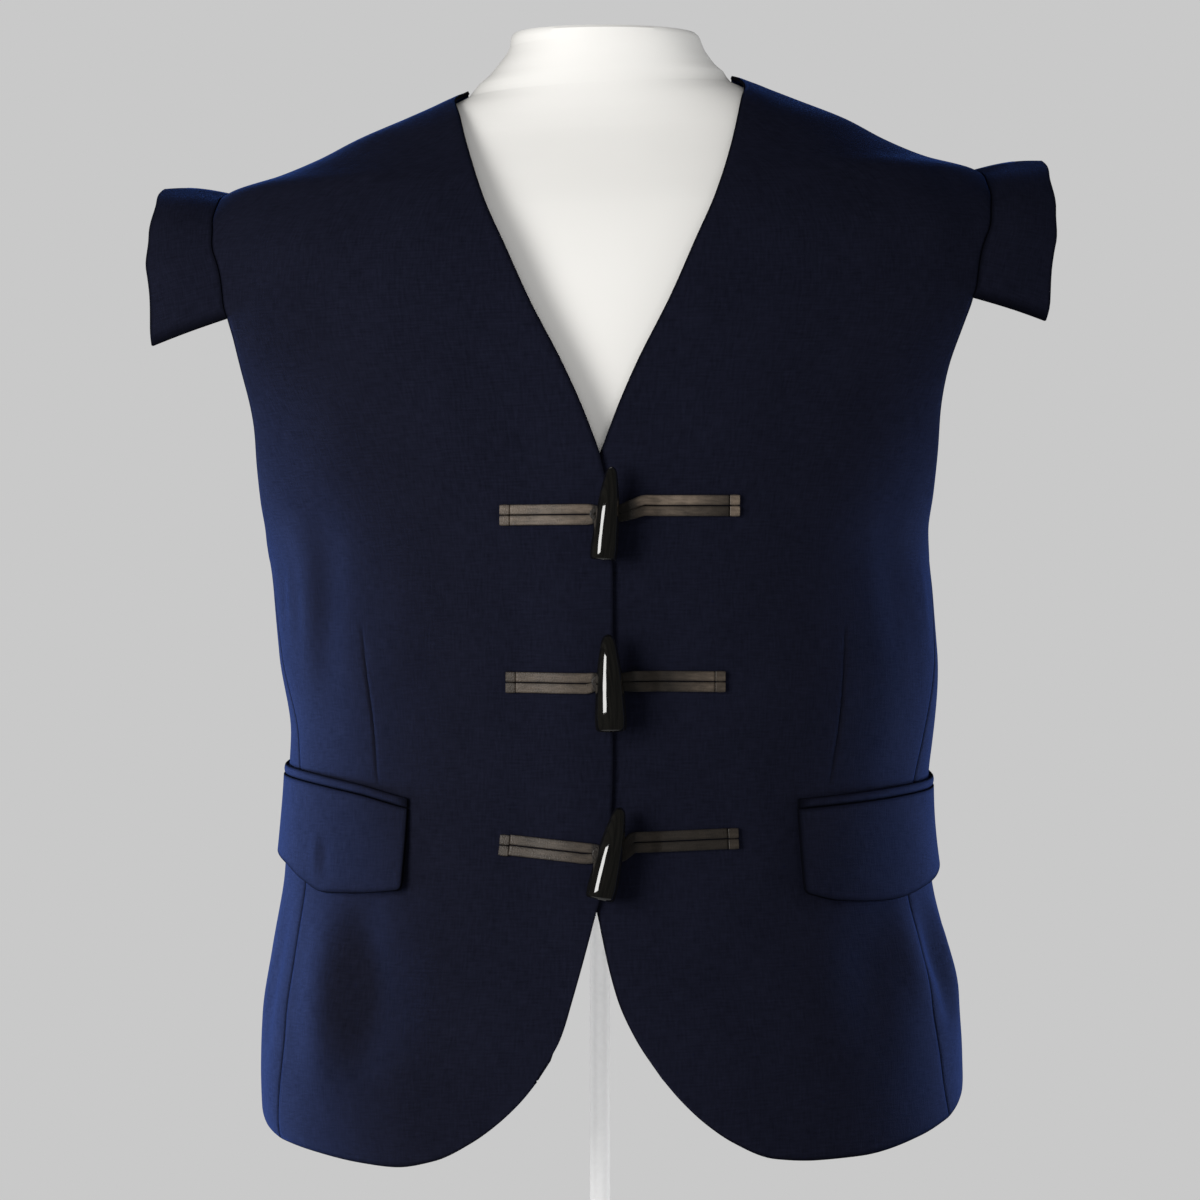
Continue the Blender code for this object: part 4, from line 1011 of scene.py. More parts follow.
def back_patch():
    """Places of the whole back, round from the picture's right to its left."""
    edge = joined(
        spaced(from_turns(BACK_SEAM), SEAM_ROWS),
        spaced(from_turns(BACK_ARMHOLE), LOWER_ARMHOLE_ROWS),
        spaced(from_turns(BACK_WING_SEAM), WING_ROWS),
    )
    hem = spaced(from_turns(BACK_HEM), SHOULDER_COLUMNS + BACK_NECK_COLUMNS // 2)
    neck = spaced(from_turns(BACK_NECK), BACK_NECK_COLUMNS // 2)
    half_top = joined(shoulder_seam(SHOULDER_COLUMNS)[::-1], neck)
    bottom = joined(hem, mirrored_turns(hem)[::-1])
    top = joined(half_top, mirrored_turns(half_top)[::-1])
    return patch(bottom, top, edge, mirrored_turns(edge))


def press_dart(piece, line):
    """Sinks a dart's line into a front, after cutting the front's mesh finer along it."""
    shape = bmesh.new()
    shape.from_mesh(piece.data)
    for _ in range(2):
        close = [vert for vert in shape.verts if line_distance(line, vert.co)[0] < DART_REACH]
        near = set(close)
        edges = [edge for edge in shape.edges if edge.verts[0] in near and edge.verts[1] in near]
        bmesh.ops.subdivide_edges(shape, edges=edges, cuts=1, use_grid_fill=True)
    shape.normal_update()
    nap = shape.verts.layers.float["nap"]
    moves = []
    for vert in shape.verts:
        apart, share = line_distance(line, vert.co)
        if apart < DART_REACH:
            fade = math.sin(math.pi * share) ** DART_END_FADE if 0 < share < 1 else 0.0
            dip = fade * math.exp(-((apart / DART_HALF_WIDTH) ** 2))
            # Painted shade: the nap layer is lowered along the dart, which darkens the wool's colour there.
            vert[nap] -= DART_PAINTED_SHADE * dip
            moves.append((vert, vert.normal * -dip * DART_DEPTH))
    for vert, move in moves:
        vert.co += move
    shape.to_mesh(piece.data)
    shape.free()
    piece.data.shade_smooth()


def line_distance(line, place):
    """Distance from a place to a row of close points, and how far along the row that is."""
    apart = np.linalg.norm(line - np.array(place), axis=1)
    nearest = int(apart.argmin())
    return float(apart[nearest]), nearest / (len(line) - 1)


def front_line(places, side):
    """A line drawn in the picture's plane, as points on the cloth."""
    curve = from_front_view(places)
    normals = outward(curve[:, 0], curve[:, 1])
    lift = relief(curve[:, 0], curve[:, 1], side)[:, None]
    points = envelope(curve[:, 0], curve[:, 1]) + normals * lift
    return seated(mirrored(points, side)) + HEM_LEVEL


def wing_seam():
    """The armhole's upper edge, from the front end over the shoulder tip to the back end."""
    front = spaced(from_turns(FRONT_WING_SEAM), WING_ROWS)
    back = spaced(from_turns(BACK_WING_SEAM), WING_ROWS)
    return joined(front, back[::-1])


def wing_surface(side):
    """Rows of points out from the armhole, and how far along and out each one lies."""
    seam = wing_seam()
    normals = outward(seam[:, 0], seam[:, 1])
    lift = relief(seam[:, 0], seam[:, 1], side)
    root = envelope(seam[:, 0], seam[:, 1]) + normals * lift[:, None]
    share = 1 - np.abs(np.linspace(-1.0, 1.0, len(root)))
    front_half = np.sign(np.linspace(1.0, -1.0, len(root)))
    reach = {name: smooth(column(WING_REACH, "share"), column(WING_REACH, name), share)
             for name in ("out", "forward", "up")}
    up = reach["up"] * np.where(front_half < 0, WING_BACK_DROP, 1.0)
    step = np.stack([reach["out"], -front_half * reach["forward"], up], axis=-1)
    width = np.linalg.norm(step, axis=1)
    run = run_of(root)
    near = [margin / width.mean() for margin in MARGINS]
    shares = np.concatenate([[0.0], near, np.linspace(0.0, 1.0, WING_COLUMNS + 1)[1:-1],
                             [1 - part for part in reversed(near)], [1.0]])
    rows = []
    flat = []
    for part in shares:
        bulge = WING_BULGE * math.sin(math.pi * part)
        rows.append(root + step * part + normals * bulge)
        flat.append(np.stack([run, width * part], axis=-1))
    return np.array(rows), np.array(flat)


def add_wing(side):
    """A stiff band that stands out from the top of the armhole."""
    points, flat = wing_surface(side)
    mesh = side_mesh(f"cloth_wing_{side}", inset_rim(points), flat, side, flipped_on="right")
    piece = to_cloth(mesh, f"wing_{side}")
    thicken(piece, WING_THICKNESS, STIFF_EDGE_ROUND)


def laid_on(node, places, side, lift, thickness):
    """A flat piece that lies on the panels: their own places, moved out."""
    around = places[..., 0]
    height = places[..., 1]
    normals = outward(around, height)
    rise = relief(around, height, side) + CLOTH / 2 + LAID_GAP + thickness / 2 + lift
    middle = envelope(around, height) + normals * rise[..., None]
    return to_cloth(side_mesh(f"cloth_{node}", middle, laid_flat(places), side), node)


def run_along(flat, axis):
    """Distance of each place of a flat grid from the grid's first line."""
    steps = np.linalg.norm(np.diff(flat, axis=axis), axis=-1)
    start = np.zeros_like(np.take(steps, [0], axis=axis))
    return np.concatenate([start, np.cumsum(steps, axis=axis)], axis=axis)


def round_lower_corners(drawn, radius):
    """Draws the places near a sheet's two lower corners in, onto quarter rounds."""
    for rows in (drawn, drawn[:, ::-1]):
        flat = laid_flat(rows)
        along = run_along(flat, 1)
        up = run_along(flat, 0)
        left = np.clip(radius - along, 0.0, None)
        below = np.clip(radius - up, 0.0, None)
        diagonal = np.maximum(np.hypot(left, below), SEAM_GAP)
        share = np.clip(1 - np.maximum(left, below) / diagonal, 0.0, 1.0) * (left * below > 0)
        along_step = (rows[:, 1] - rows[:, 0]) / along[:, 1, None]
        up_step = (rows[1] - rows[0]) / up[1, :, None]
        rows += (left * share)[..., None] * along_step[:, None] + (below * share)[..., None] * up_step[None]
    return drawn


def add_flap(side):
    """A pocket flap with rounded lower corners, a little proud of the panels at its foot."""
    top = spaced(from_turns(FLAP_TOPS[side]), FLAP_COLUMNS)
    bottom = spaced(from_turns(FLAP_BOTTOMS[side]), FLAP_COLUMNS)
    share = np.linspace(0.0, 1.0, FLAP_ROWS + 1)[:, None]
    start = bottom[0] + (top[0] - bottom[0]) * share
    end = bottom[-1] + (top[-1] - bottom[-1]) * share
    places = patch(bottom, top, start, end)
    down = np.linspace(1.0, 0.0, FLAP_ROWS + 1)[:, None]
    back = np.linspace(0.0, 1.0, FLAP_COLUMNS + 1)[None, :]
    lift = FLAP_CORNER_LIFT * down * back**2 + FLAP_HANG * down + FLAP_FRONT_LIFT * down * (1 - back) ** 4
    drawn = with_margins(np.concatenate([places, lift[..., None]], axis=-1))
    drawn = round_lower_corners(drawn, FLAP_CORNER)
    piece = laid_on(f"flap_{side}", drawn[..., :2], side, drawn[..., 2], FLAP_THICKNESS)
    thicken(piece, FLAP_THICKNESS, STIFF_EDGE_ROUND)


def add_jet(side):
    """The narrow strip sewn above the flap, a little crowned."""
    top = spaced(from_turns(FLAP_TOPS[side]), FLAP_COLUMNS)
    rows = np.linspace(SEAM_GAP, JET_HEIGHT, JET_ROWS + 1)
    places = np.stack([top + np.array([0.0, rise]) for rise in rows])
    crown = np.sin(np.linspace(0.0, math.pi, JET_ROWS + 1))[:, None]
    piece = laid_on(f"jet_{side}", places, side, crown * JET_CROWN, JET_THICKNESS)
    thicken(piece, JET_THICKNESS, EDGE_ROUND)


def front_place(x, height, lift):
    """A place above the front, lift from the envelope, and the normal there."""
    height = np.asarray(height)
    around = around_at(x, height)
    normal = outward(around, height)
    return envelope(around, height) + normal * np.asarray(lift)[..., None], normal


def close_tube(mesh):
    """Joins the two long edges of a mapped grid and closes both of its ends."""
    shape = bmesh.new()
    shape.from_mesh(mesh)
    bmesh.ops.remove_doubles(shape, verts=shape.verts[:], dist=MERGE_DISTANCE)
    rim = [edge for edge in shape.edges if edge.is_boundary]
    bmesh.ops.holes_fill(shape, edges=rim, sides=0)
    bmesh.ops.recalc_face_normals(shape, faces=shape.faces[:])
    shape.to_mesh(mesh)
    shape.free()


def tube_mesh(name, middle, across, above, half_width, half_height, squareness, sides):
    """A closed tube along a row of places, with a rounded-off rectangle for its section."""
    turns = np.linspace(0.0, 2 * math.pi, sides + 1)
    power = 2 / squareness
    a = np.sign(np.cos(turns)) * np.abs(np.cos(turns)) ** power
    b = np.sign(np.sin(turns)) * np.abs(np.sin(turns)) ** power
    wide = across[:, None] * a[None, :, None] * half_width[:, None, None]
    tall = above[:, None] * b[None, :, None] * half_height[:, None, None]
    points = middle[:, None] + wide + tall
    points[:, -1] = points[:, 0]
    girth = a[None, :] * half_width[:, None] + b[None, :] * half_height[:, None]
    flat = np.stack(np.broadcast_arrays(girth, run_of(middle)[:, None]), axis=-1)
    # How near the middle of its face each place lies across the section: 1 there and 0 at the sides.
    worn = np.broadcast_to(1 - a[None, :] ** 2, points.shape[:2])
    mesh = grid_mesh(name, seated(points), flat, "worn", worn)
    close_tube(mesh)
    return mesh


def band_mesh(name, route, widths, thickness, step):
    """A flat strap along rows of x, height and lift, with its own width at each row."""
    knots = run_of(route)
    at = np.linspace(0.0, knots[-1], int(knots[-1] / step) + 2)
    fine = np.column_stack([smooth(knots, route[:, axis], at) for axis in range(3)])
    half_width = smooth(knots, np.asarray(widths) / 2, at)
    middle, normal = front_place(fine[:, 0], fine[:, 1], fine[:, 2])
    along = unit(np.gradient(middle, axis=0))
    across = unit(np.cross(normal, along))
    above = np.cross(along, across)
    half_height = np.full(len(at), thickness / 2)
    return tube_mesh(name, middle, across, above, half_width, half_height, STRAP_SQUARENESS, STRAP_SIDES)


def strap_route(end, part, middle, heading, low_lift, high_lift):
    """Out along one strand, round the open loop at the toggle and back along the other."""
    end = np.array(end)
    part = np.array(part)
    lead = unit(part - end)
    square = np.array([-lead[1], lead[0]]) * heading
    upper = [end + (part - end) * share + square * STRAND_PITCH / 2 for share in STRAND_SHARES]
    lower = [place - square * STRAND_PITCH for place in upper]
    turns = np.radians(LOOP_TURNS)
    ahead = middle[0] + heading * LOOP_REACH * np.cos(turns)
    for strand, way in ((upper, 1), (lower, -1)):
        loop = np.stack([ahead, middle[1] + way * LOOP_HALF_HEIGHT * np.sin(turns)], axis=-1)
        strand.append((strand[-1] + loop[0]) / 2)
        strand.extend(loop)
    route = np.array(upper + lower[-2::-1])
    climb = (CLIMB_START - np.abs(route[:, 0] - middle[0])) / (CLIMB_START - CLIMB_END)
    climb = np.clip(climb, 0.0, 1.0)
    lift = low_lift + (high_lift - low_lift) * eased(climb)
    widths = [STRAND_WIDTH] * (len(STRAND_SHARES) - 1) + list(PARTING_WIDTHS)
    widths += [LOOP_WIDTH] * (len(LOOP_TURNS) - 1)
    return np.column_stack([route, lift]), widths + widths[-2::-1]


def strap_lifts():
    """Middle of each loop above the envelope: on the lapping front, on the other, and over both loops."""
    on_cloth = CLOTH / 2 + SEAM_GAP + STRAP_THICKNESS / 2
    on_lap = LAP_RISE + on_cloth
    return on_lap, on_cloth, on_lap + STRAP_THICKNESS + 2 * SEAM_GAP


def lap_shortfall(route):
    """How much lower the lapping front lies than its full rise, at each place of a route."""
    own_side = -route[:, 0]
    around = around_at(own_side, route[:, 1])
    return np.where(own_side > 0, LAP_RISE - lap(around, route[:, 1]), 0.0)


def follow_relief(route):
    """How far the cloth under each place of a route lies off the envelope."""
    around = around_at(np.abs(route[:, 0]), route[:, 1])
    left = relief(around, route[:, 1], "left")
    right = relief(around, route[:, 1], "right")
    return np.where(route[:, 0] < 0, left, right)


def set_tone(mesh, tone):
    """Keeps how light each point of a leather piece is: tone gives it from the points."""
    places = np.empty(len(mesh.vertices) * 3)
    mesh.vertices.foreach_get("co", places)
    layer = mesh.attributes.new("tone", "FLOAT", "POINT")
    layer.data.foreach_set("value", np.broadcast_to(tone(places.reshape(-1, 3)), len(mesh.vertices)))


def add_leather(mesh, node, tone):
    """A leather piece whose points are as light as tone says."""
    set_tone(mesh, tone)
    to_piece(mesh, node, "leather")


def left_tone(tones):
    """The strap's tone, painted dark under the horn as painted shade."""
    stops = (-HORN_SHADE_START - HORN_SHADE_FADE, -HORN_SHADE_START)
    return lambda places: np.interp(places[:, 0], stops, (tones.left, HORN_SHADE_TONE))


def right_tone(row, tones):
    """Painted shade by the horn, light where the strands part and darker towards the sewn end."""
    part, part_height = row.right_part
    end, end_height = row.right_end
    stops = [part + step for step in RIGHT_TONE_STEPS] + [end]
    # The first stop is painted shade under the horn and painted shadow to its right.
    shades = (HORN_SHADE_TONE * 2, tones.right_near, tones.right_near, tones.right_far)
    line = seated(np.array([[part, 0.0, part_height], [end, 0.0, end_height]])) + HEM_LEVEL

    def tone(places):
        low = places[:, 2] < np.interp(places[:, 0], line[:, 0], line[:, 2])
        return np.interp(places[:, 0], stops, shades) * np.where(low, tones.right_low, 1.0)

    return tone


def add_straps(number, row, tones):
    """Both leather loops of a fastening. Each starts where its sewn end stops."""
    on_lap, on_under, over_both = strap_lifts()
    end = (row.left_end[0] + TAB_LENGTH, row.left_end[1])
    route, widths = strap_route(end, row.left_part, row.middle, 1, on_lap, on_lap)
    route[:, 2] += follow_relief(route) - lap_shortfall(route)
    mesh = band_mesh(f"leather_toggle_strap_{number}", route, widths, STRAP_THICKNESS, STRAP_STEP)
    add_leather(mesh, f"toggle_strap_{number}", left_tone(tones))
    end = (row.right_end[0] - TAB_LENGTH, row.right_end[1])
    route, widths = strap_route(end, row.right_part, row.middle, -1, on_under, over_both)
    route[:, 2] += follow_relief(route)
    mesh = band_mesh(f"leather_loop_strap_{number}", route, widths, STRAP_THICKNESS, STRAP_STEP)
    add_leather(mesh, f"loop_strap_{number}", right_tone(row, tones))


def tab_halves(end, part):
    """Routes of the two strand ends that lie side by side beyond the stitching."""
    end = np.array(end)
    lead = unit(np.array(part) - end)
    square = np.array([-lead[1], lead[0]])
    stops = end + lead * np.array(TAB_SHARES)[:, None] * (TAB_LENGTH - SEAM_GAP)
    rise = np.full(len(stops), CLOTH / 2 + SEAM_GAP + TAB_THICKNESS / 2)
    return [np.column_stack([stops + square * way * STRAND_PITCH / 2, rise]) for way in (-1, 1)]


def add_tab(number, side, end, part, tone):
    """The stitched end of a strap."""
    name = f"leather_tab_{side}_{number}"
    shape = bmesh.new()
    for route in tab_halves(end, part):
        route[:, 2] += follow_relief(route)
        if side == "left":
            route[:, 2] += LAP_RISE - lap_shortfall(route)
        half = band_mesh(name, route, TAB_WIDTHS, TAB_THICKNESS, TAB_STEP)
        shape.from_mesh(half)
        bpy.data.meshes.remove(half)
    add_leather(mesh_of(shape, name), f"tab_{side}_{number}", lambda places: tone)


def horn_radius(horn, share):
    """Radius at a share of the length, from the cut end to the rounded tip."""
    shares = column(HORN_GIRTHS, "share")
    radius = smooth(shares, column(HORN_GIRTHS, "radius"), share) * horn.stoutness
    past = np.clip((np.asarray(share) - TIP_START) / (1 - TIP_START), 0.0, 1.0)
    return radius * np.sqrt(1 - (past * TIP_ROUND) ** 2)


def horn_bend(share):
    """How far a horn's middle line stands forward of the line between its ends."""
    return TOGGLE_BEND * (1 - (2 * share - 1) ** 2)


def toggle_lift(horn):
    """The line between a horn's ends, above the envelope, with its back seated on the loops."""
    _, _, over_both = strap_lifts()
    seat = over_both + STRAP_THICKNESS / 2 + SEAM_GAP
    share = 0.5 - (LOOP_HALF_HEIGHT + LOOP_WIDTH / 2) / horn.length
    return seat + float(horn_radius(horn, share)) - horn_bend(share)


def add_toggle(number, row, horn):
    """A horn tip: round, tapered, flat at its wide end and a little bent."""
    share = np.concatenate([CUT_END_SHARES, np.linspace(*HORN_BODY, HORN_ROWS), TIP_SHARES])
    spine = np.zeros((len(share), 3))
    spine[:, 1] = -horn_bend(share)
    spine[:, 2] = (share - 0.5) * horn.length
    lift = toggle_lift(horn) + float(follow_relief(np.array([row.middle]))[0])
    place, normal = front_place(*row.middle, lift)
    turn = Euler((-math.atan2(normal[2], -normal[1]), math.radians(row.lean), 0.0))
    matrix = np.array(turn.to_matrix())
    middle = spine @ matrix.T + place
    across = np.tile(matrix[:, 0], (len(share), 1))
    above = np.tile(matrix[:, 1], (len(share), 1))
    radius = horn_radius(horn, share)
    name = f"horn_toggle_{number}"
    mesh = tube_mesh(name, middle, across, above, radius, radius, CIRCLE_SQUARENESS, HORN_SIDES)
    to_crisp_piece(mesh, f"toggle_{number}", "horn")


def add_form():
    """The bust: one smooth body from its flat underside to the flat top of its neck."""
    ring_heights = column(FORM_RINGS, "height")
    rows = np.linspace(ring_heights[0], ring_heights[-1], FORM_ROWS)
    heights = np.unique(np.concatenate([rows, ring_heights]))
    around = np.linspace(0.0, 360.0, FORM_SIDES)
    sizes = [size[:, None] for size in ring_at(FORM_RINGS, heights)]
    x, y = on_ring(*sizes, around[None, :])
    shift = smooth(column(NECK_LEAN, "height"), column(NECK_LEAN, "shift"), heights)[:, None]
    points = np.stack(np.broadcast_arrays(x + shift, y, heights[:, None]), axis=-1)
    points[:, -1] = points[:, 0]
    above = points[..., 2] > FORM_SITS_ABOVE
    points[..., 2] = np.where(above, seated(points)[..., 2], points[..., 2])
    flat = np.stack(np.broadcast_arrays(around[None, :] * DEGREE_LENGTH, heights[:, None]), axis=-1)
    mesh = grid_mesh("dress_form", points, flat)
    close_tube(mesh)
    to_crisp_piece(mesh, "form_bust", "form")


def turned_mesh(name, profile):
    """A body turned about Z through rows of radius and height above the floor."""
    shape = bmesh.new()
    verts = [shape.verts.new((radius, 0.0, height)) for radius, height in profile]
    edges = [shape.edges.new(pair) for pair in zip(verts, verts[1:])]
    bmesh.ops.spin(shape, geom=verts + edges, cent=(0, 0, 0), axis=(0, 0, 1),
                   angle=2 * math.pi, steps=TURN_STEPS, use_merge=True)
    bmesh.ops.remove_doubles(shape, verts=shape.verts[:], dist=MERGE_DISTANCE)
    bmesh.ops.recalc_face_normals(shape, faces=shape.faces[:])
    return mesh_of(shape, name)


def soft_corner(radius_1, height_1, radius_2, height_2, steps=5):
    """A quarter round between two places of a profile, bulging outwards and up."""
    turns = np.linspace(0.0, math.pi / 2, steps + 1)
    return [(radius_1 + (radius_2 - radius_1) * (1 - math.cos(turn)),
             height_1 + (height_2 - height_1) * math.sin(turn)) for turn in turns]


def add_stand():
    """Round base, pole and the collar that carries the form."""
    edge = STAND_EDGE
    corner = COLLAR_CORNER
    base = [(0.0, 0.0), (BASE_RADIUS - FOOT_EDGE, 0.0), (BASE_RADIUS, FOOT_EDGE)]
    base += soft_corner(BASE_RADIUS, BASE_HEIGHT - edge, BASE_RADIUS - edge, BASE_HEIGHT)
    base += [(HUB_RADIUS + 3 * edge, BASE_HEIGHT + 0.5 * edge), (HUB_RADIUS + edge, BASE_HEIGHT + edge)]
    base += [(HUB_RADIUS, BASE_HEIGHT + 2 * edge)]
    base += soft_corner(HUB_RADIUS - 0.5 * edge, HUB_HEIGHT - edge, HUB_RADIUS - 1.5 * edge, HUB_HEIGHT)
    base += [(0.0, HUB_HEIGHT)]
    form_bottom = HEM_HEIGHT + FORM_RINGS[0].height
    top = form_bottom - SEAM_GAP
    bottom = top - COLLAR_HEIGHT
    collar = [(0.0, bottom), (COLLAR_RADIUS - corner, bottom)]
    collar += [(COLLAR_RADIUS - 0.25 * corner, bottom + 0.375 * corner), (COLLAR_RADIUS, bottom + corner)]
    collar += [(COLLAR_RADIUS, top - COLLAR_LIP), (COLLAR_RADIUS - COLLAR_LIP, top), (0.0, top)]
    pole_top = bottom - SEAM_GAP
    pole = [(0.0, HUB_HEIGHT + SEAM_GAP), (POLE_RADIUS, HUB_HEIGHT + SEAM_GAP), (POLE_RADIUS, pole_top)]
    pole += [(0.0, pole_top)]
    for name, profile in (("base", base), ("collar", collar), ("pole", pole)):
        to_crisp_piece(turned_mesh(f"steel_{name}", profile), f"stand_{name}", "stand")


Bump = namedtuple("Bump", "height strength distance")


def put(tree, kind, sockets, **settings):
    """Adds a node: settings are its own, sockets are values or the outputs of other nodes."""
    made = tree.nodes.new(kind)
    for key, value in settings.items():
        setattr(made, key, value)
    for key, value in sockets.items():
        if isinstance(value, bpy.types.NodeSocket):
            tree.links.new(value, made.inputs[key])
        else:
            made.inputs[key].default_value = value
    return made


def new_material(name):
    """A material with its node tree, its shader and a source of places on the piece."""
    material = bpy.data.materials.new(name)
    material.use_nodes = True
    tree = material.node_tree
    spot = put(tree, "ShaderNodeTexCoord", {})
    return material, tree, tree.nodes["Principled BSDF"], spot.outputs


def complete(tree, shader, colour, bump, constants):
    """Joins a colour and a bump to the shader: constants are values of the shader's own sockets."""
    made = put(tree, "ShaderNodeBump", {"Height": bump.height, "Strength": bump.strength,
                                        "Distance": bump.distance})
    tree.links.new(colour, shader.inputs["Base Color"])
    tree.links.new(made.outputs[0], shader.inputs["Normal"])
    for name, value in constants.items():
        shader.inputs[name].default_value = value


def streaks(tree, coordinates, scale, detail=2.0):
    """Noise drawn out along one direction by its own scales."""
    mapped = put(tree, "ShaderNodeMapping", {"Vector": coordinates, "Scale": scale})
    noise = put(tree, "ShaderNodeTexNoise", {"Vector": mapped.outputs[0], "Scale": 1.0, "Detail": detail})
    return noise.outputs["Fac"]


def maths(tree, operation, a, b):
    return put(tree, "ShaderNodeMath", {0: a, 1: b}, operation=operation).outputs[0]


def mixture(tree, first, second, share):
    """Two values added up, the second making this share of the whole."""
    rest = maths(tree, "MULTIPLY", first, 1 - share)
    return maths(tree, "ADD", rest, maths(tree, "MULTIPLY", second, share))


def ranged(tree, value, low, high, to_low=0.0, to_high=1.0, way="LINEAR"):
    """A value between low and high, spread over another range."""
    sockets = {"Value": value, "From Min": low, "From Max": high, "To Min": to_low, "To Max": to_high}
    return put(tree, "ShaderNodeMapRange", sockets, interpolation_type=way).outputs[0]


def layer_of(tree, name):
    """A number that each point of the mesh holds."""
    return put(tree, "ShaderNodeAttribute", {}, attribute_name=name).outputs["Fac"]


def colours(tree, factor, dark, light):
    """A mix of two colours: the Mix node's inputs 6 and 7, and its output 2, are those for colours."""
    mixed = put(tree, "ShaderNodeMix", {0: factor, 6: dark, 7: light}, data_type="RGBA")
    return mixed.outputs[2]


def rgba(colour, share=1.0):
    return (colour[0] * share, colour[1] * share, colour[2] * share, 1.0)


def grey(level):
    return rgba((level,) * 3)


def wool_material():
    """Near-black navy wool: a fine cross weave under a short nap."""
    cloth = bpy.context.scene.waistcoat_cloth
    material, tree, shader, spot = new_material("wool_finish")
    warp = streaks(tree, spot["UV"], (950.0, 120.0, 1.0))
    weft = streaks(tree, spot["UV"], (120.0, 950.0, 1.0))
    fuzz = streaks(tree, spot["Object"], (2300.0, 2300.0, 2300.0), 1.0)
    cloudy = streaks(tree, spot["Object"], (34.0, 34.0, 22.0), 4.0)
    weave = mixture(tree, warp, weft, 0.5)
    spread = ranged(tree, mixture(tree, weave, cloudy, 0.20), 0.32, 0.68)
    woven = colours(tree, spread, rgba(cloth.wool_colour, 0.68), rgba(cloth.wool_colour, 1.36))
    # Painted shade: the colour is darker where the nap layer is low, along cut edges and darts.
    colour = colours(tree, layer_of(tree, "nap"), rgba(cloth.wool_colour, 0.25), woven)
    height = maths(tree, "ADD", weave, maths(tree, "MULTIPLY", fuzz, 0.5))
    complete(tree, shader, colour, Bump(height, 0.45, 0.0006), {
        "Roughness": 0.92,
        "Specular IOR Level": 0.03,
        "Sheen Weight": cloth.nap,
        "Sheen Roughness": 0.24,
        "Sheen Tint": (0.09, 0.25, 1.0, 1.0),
    })
    return material


def wool_edge_material():
    """The same wool where it is cut or turned in, with no nap left."""
    material = wool_material()
    material.name = "wool_edge_finish"
    material.node_tree.nodes["Principled BSDF"].inputs["Sheen Weight"].default_value = 0.0
    return material


def leather_material():
    """Grey-brown leather with a fine grain, lighter on the strands' crests and darker towards their edges.
    """
    trim = bpy.context.scene.waistcoat_trim
    material, tree, shader, spot = new_material("leather_finish")
    along = streaks(tree, spot["UV"], (900.0, 120.0, 1.0), 3.0)
    scuffed = streaks(tree, spot["Object"], (160.0, 160.0, 260.0), 4.0)
    grain = put(tree, "ShaderNodeTexVoronoi", {"Vector": spot["Object"], "Scale": 1500.0})
    spread = ranged(tree, mixture(tree, along, scuffed, 0.5), 0.36, 0.64)
    hide = colours(tree, spread, rgba(trim.leather_colour, 0.6), rgba(trim.leather_colour, 1.35))
    crest = ranged(tree, layer_of(tree, "worn"), 0.05, 0.75, 0.40, 1.10)
    light = maths(tree, "MULTIPLY", layer_of(tree, "tone"), crest)
    colour = colours(tree, light, rgba(trim.leather_colour, 0.04), hide)
    height = maths(tree, "ADD", grain.outputs["Distance"], along)
    complete(tree, shader, colour, Bump(height, 0.35, 0.0004), {
        "Roughness": 0.48,
        "Specular IOR Level": 0.45,
    })
    return material


def horn_material():
    """Polished black horn with faint lengthwise streaks."""
    trim = bpy.context.scene.waistcoat_trim
    material, tree, shader, spot = new_material("horn_finish")
    spread = ranged(tree, streaks(tree, spot["UV"], (700.0, 45.0, 1.0), 3.0), 0.40, 0.72)
    colour = colours(tree, spread, rgba(trim.horn_colour, 0.7), rgba(trim.horn_colour, 3.0))
    uneven = streaks(tree, spot["Object"], (240.0, 240.0, 90.0), 1.0)
    complete(tree, shader, colour, Bump(uneven, 0.10, 0.0010), {
        "Roughness": 0.05,
        "Specular IOR Level": 1.0,
    })
    return material


def form_material():
    """Matt white painted shell."""
    material, tree, shader, spot = new_material("form_finish")
    cloudy = streaks(tree, spot["Object"], (9.0, 9.0, 9.0), 3.0)
    pores = streaks(tree, spot["Object"], (1100.0, 1100.0, 1100.0), 1.0)
    colour = colours(tree, cloudy, (0.78, 0.77, 0.745, 1.0), (0.83, 0.82, 0.795, 1.0))
    complete(tree, shader, colour, Bump(pores, 0.08, 0.0004), {"Roughness": 0.62})
    return material


def stand_material():
    """Pale matt paint on steel."""
    material, tree, shader, spot = new_material("stand_finish")
    peel = streaks(tree, spot["Object"], (420.0, 420.0, 420.0), 2.0)
    complete(tree, shader, colours(tree, peel, grey(0.55), grey(0.61)), Bump(peel, 0.06, 0.0005), {
        "Roughness": 0.90,
        "Specular IOR Level": 0.10,
    })
    return material


MAKERS = {
    "wool": wool_material,
    "wool_edge": wool_edge_material,
    "leather": leather_material,
    "horn": horn_material,
    "form": form_material,
    "stand": stand_material,
}


def finish_of(slot):
    """The material of a slot, made when it is first asked for."""
    return bpy.data.materials.get(f"{slot}_finish") or MAKERS[slot]()


def add_camera():
    studio = bpy.context.scene.waistcoat_studio
    data = bpy.data.cameras.new("camera")
    data.sensor_width = 36.0
    data.lens = studio.lens
    camera = bpy.data.objects.new("camera", data)
    camera.location = (0.0, -studio.distance, studio.camera_height)
    camera.rotation_euler = (math.radians(90), 0.0, 0.0)
    bpy.context.scene.collection.objects.link(camera)
    bpy.context.scene.camera = camera


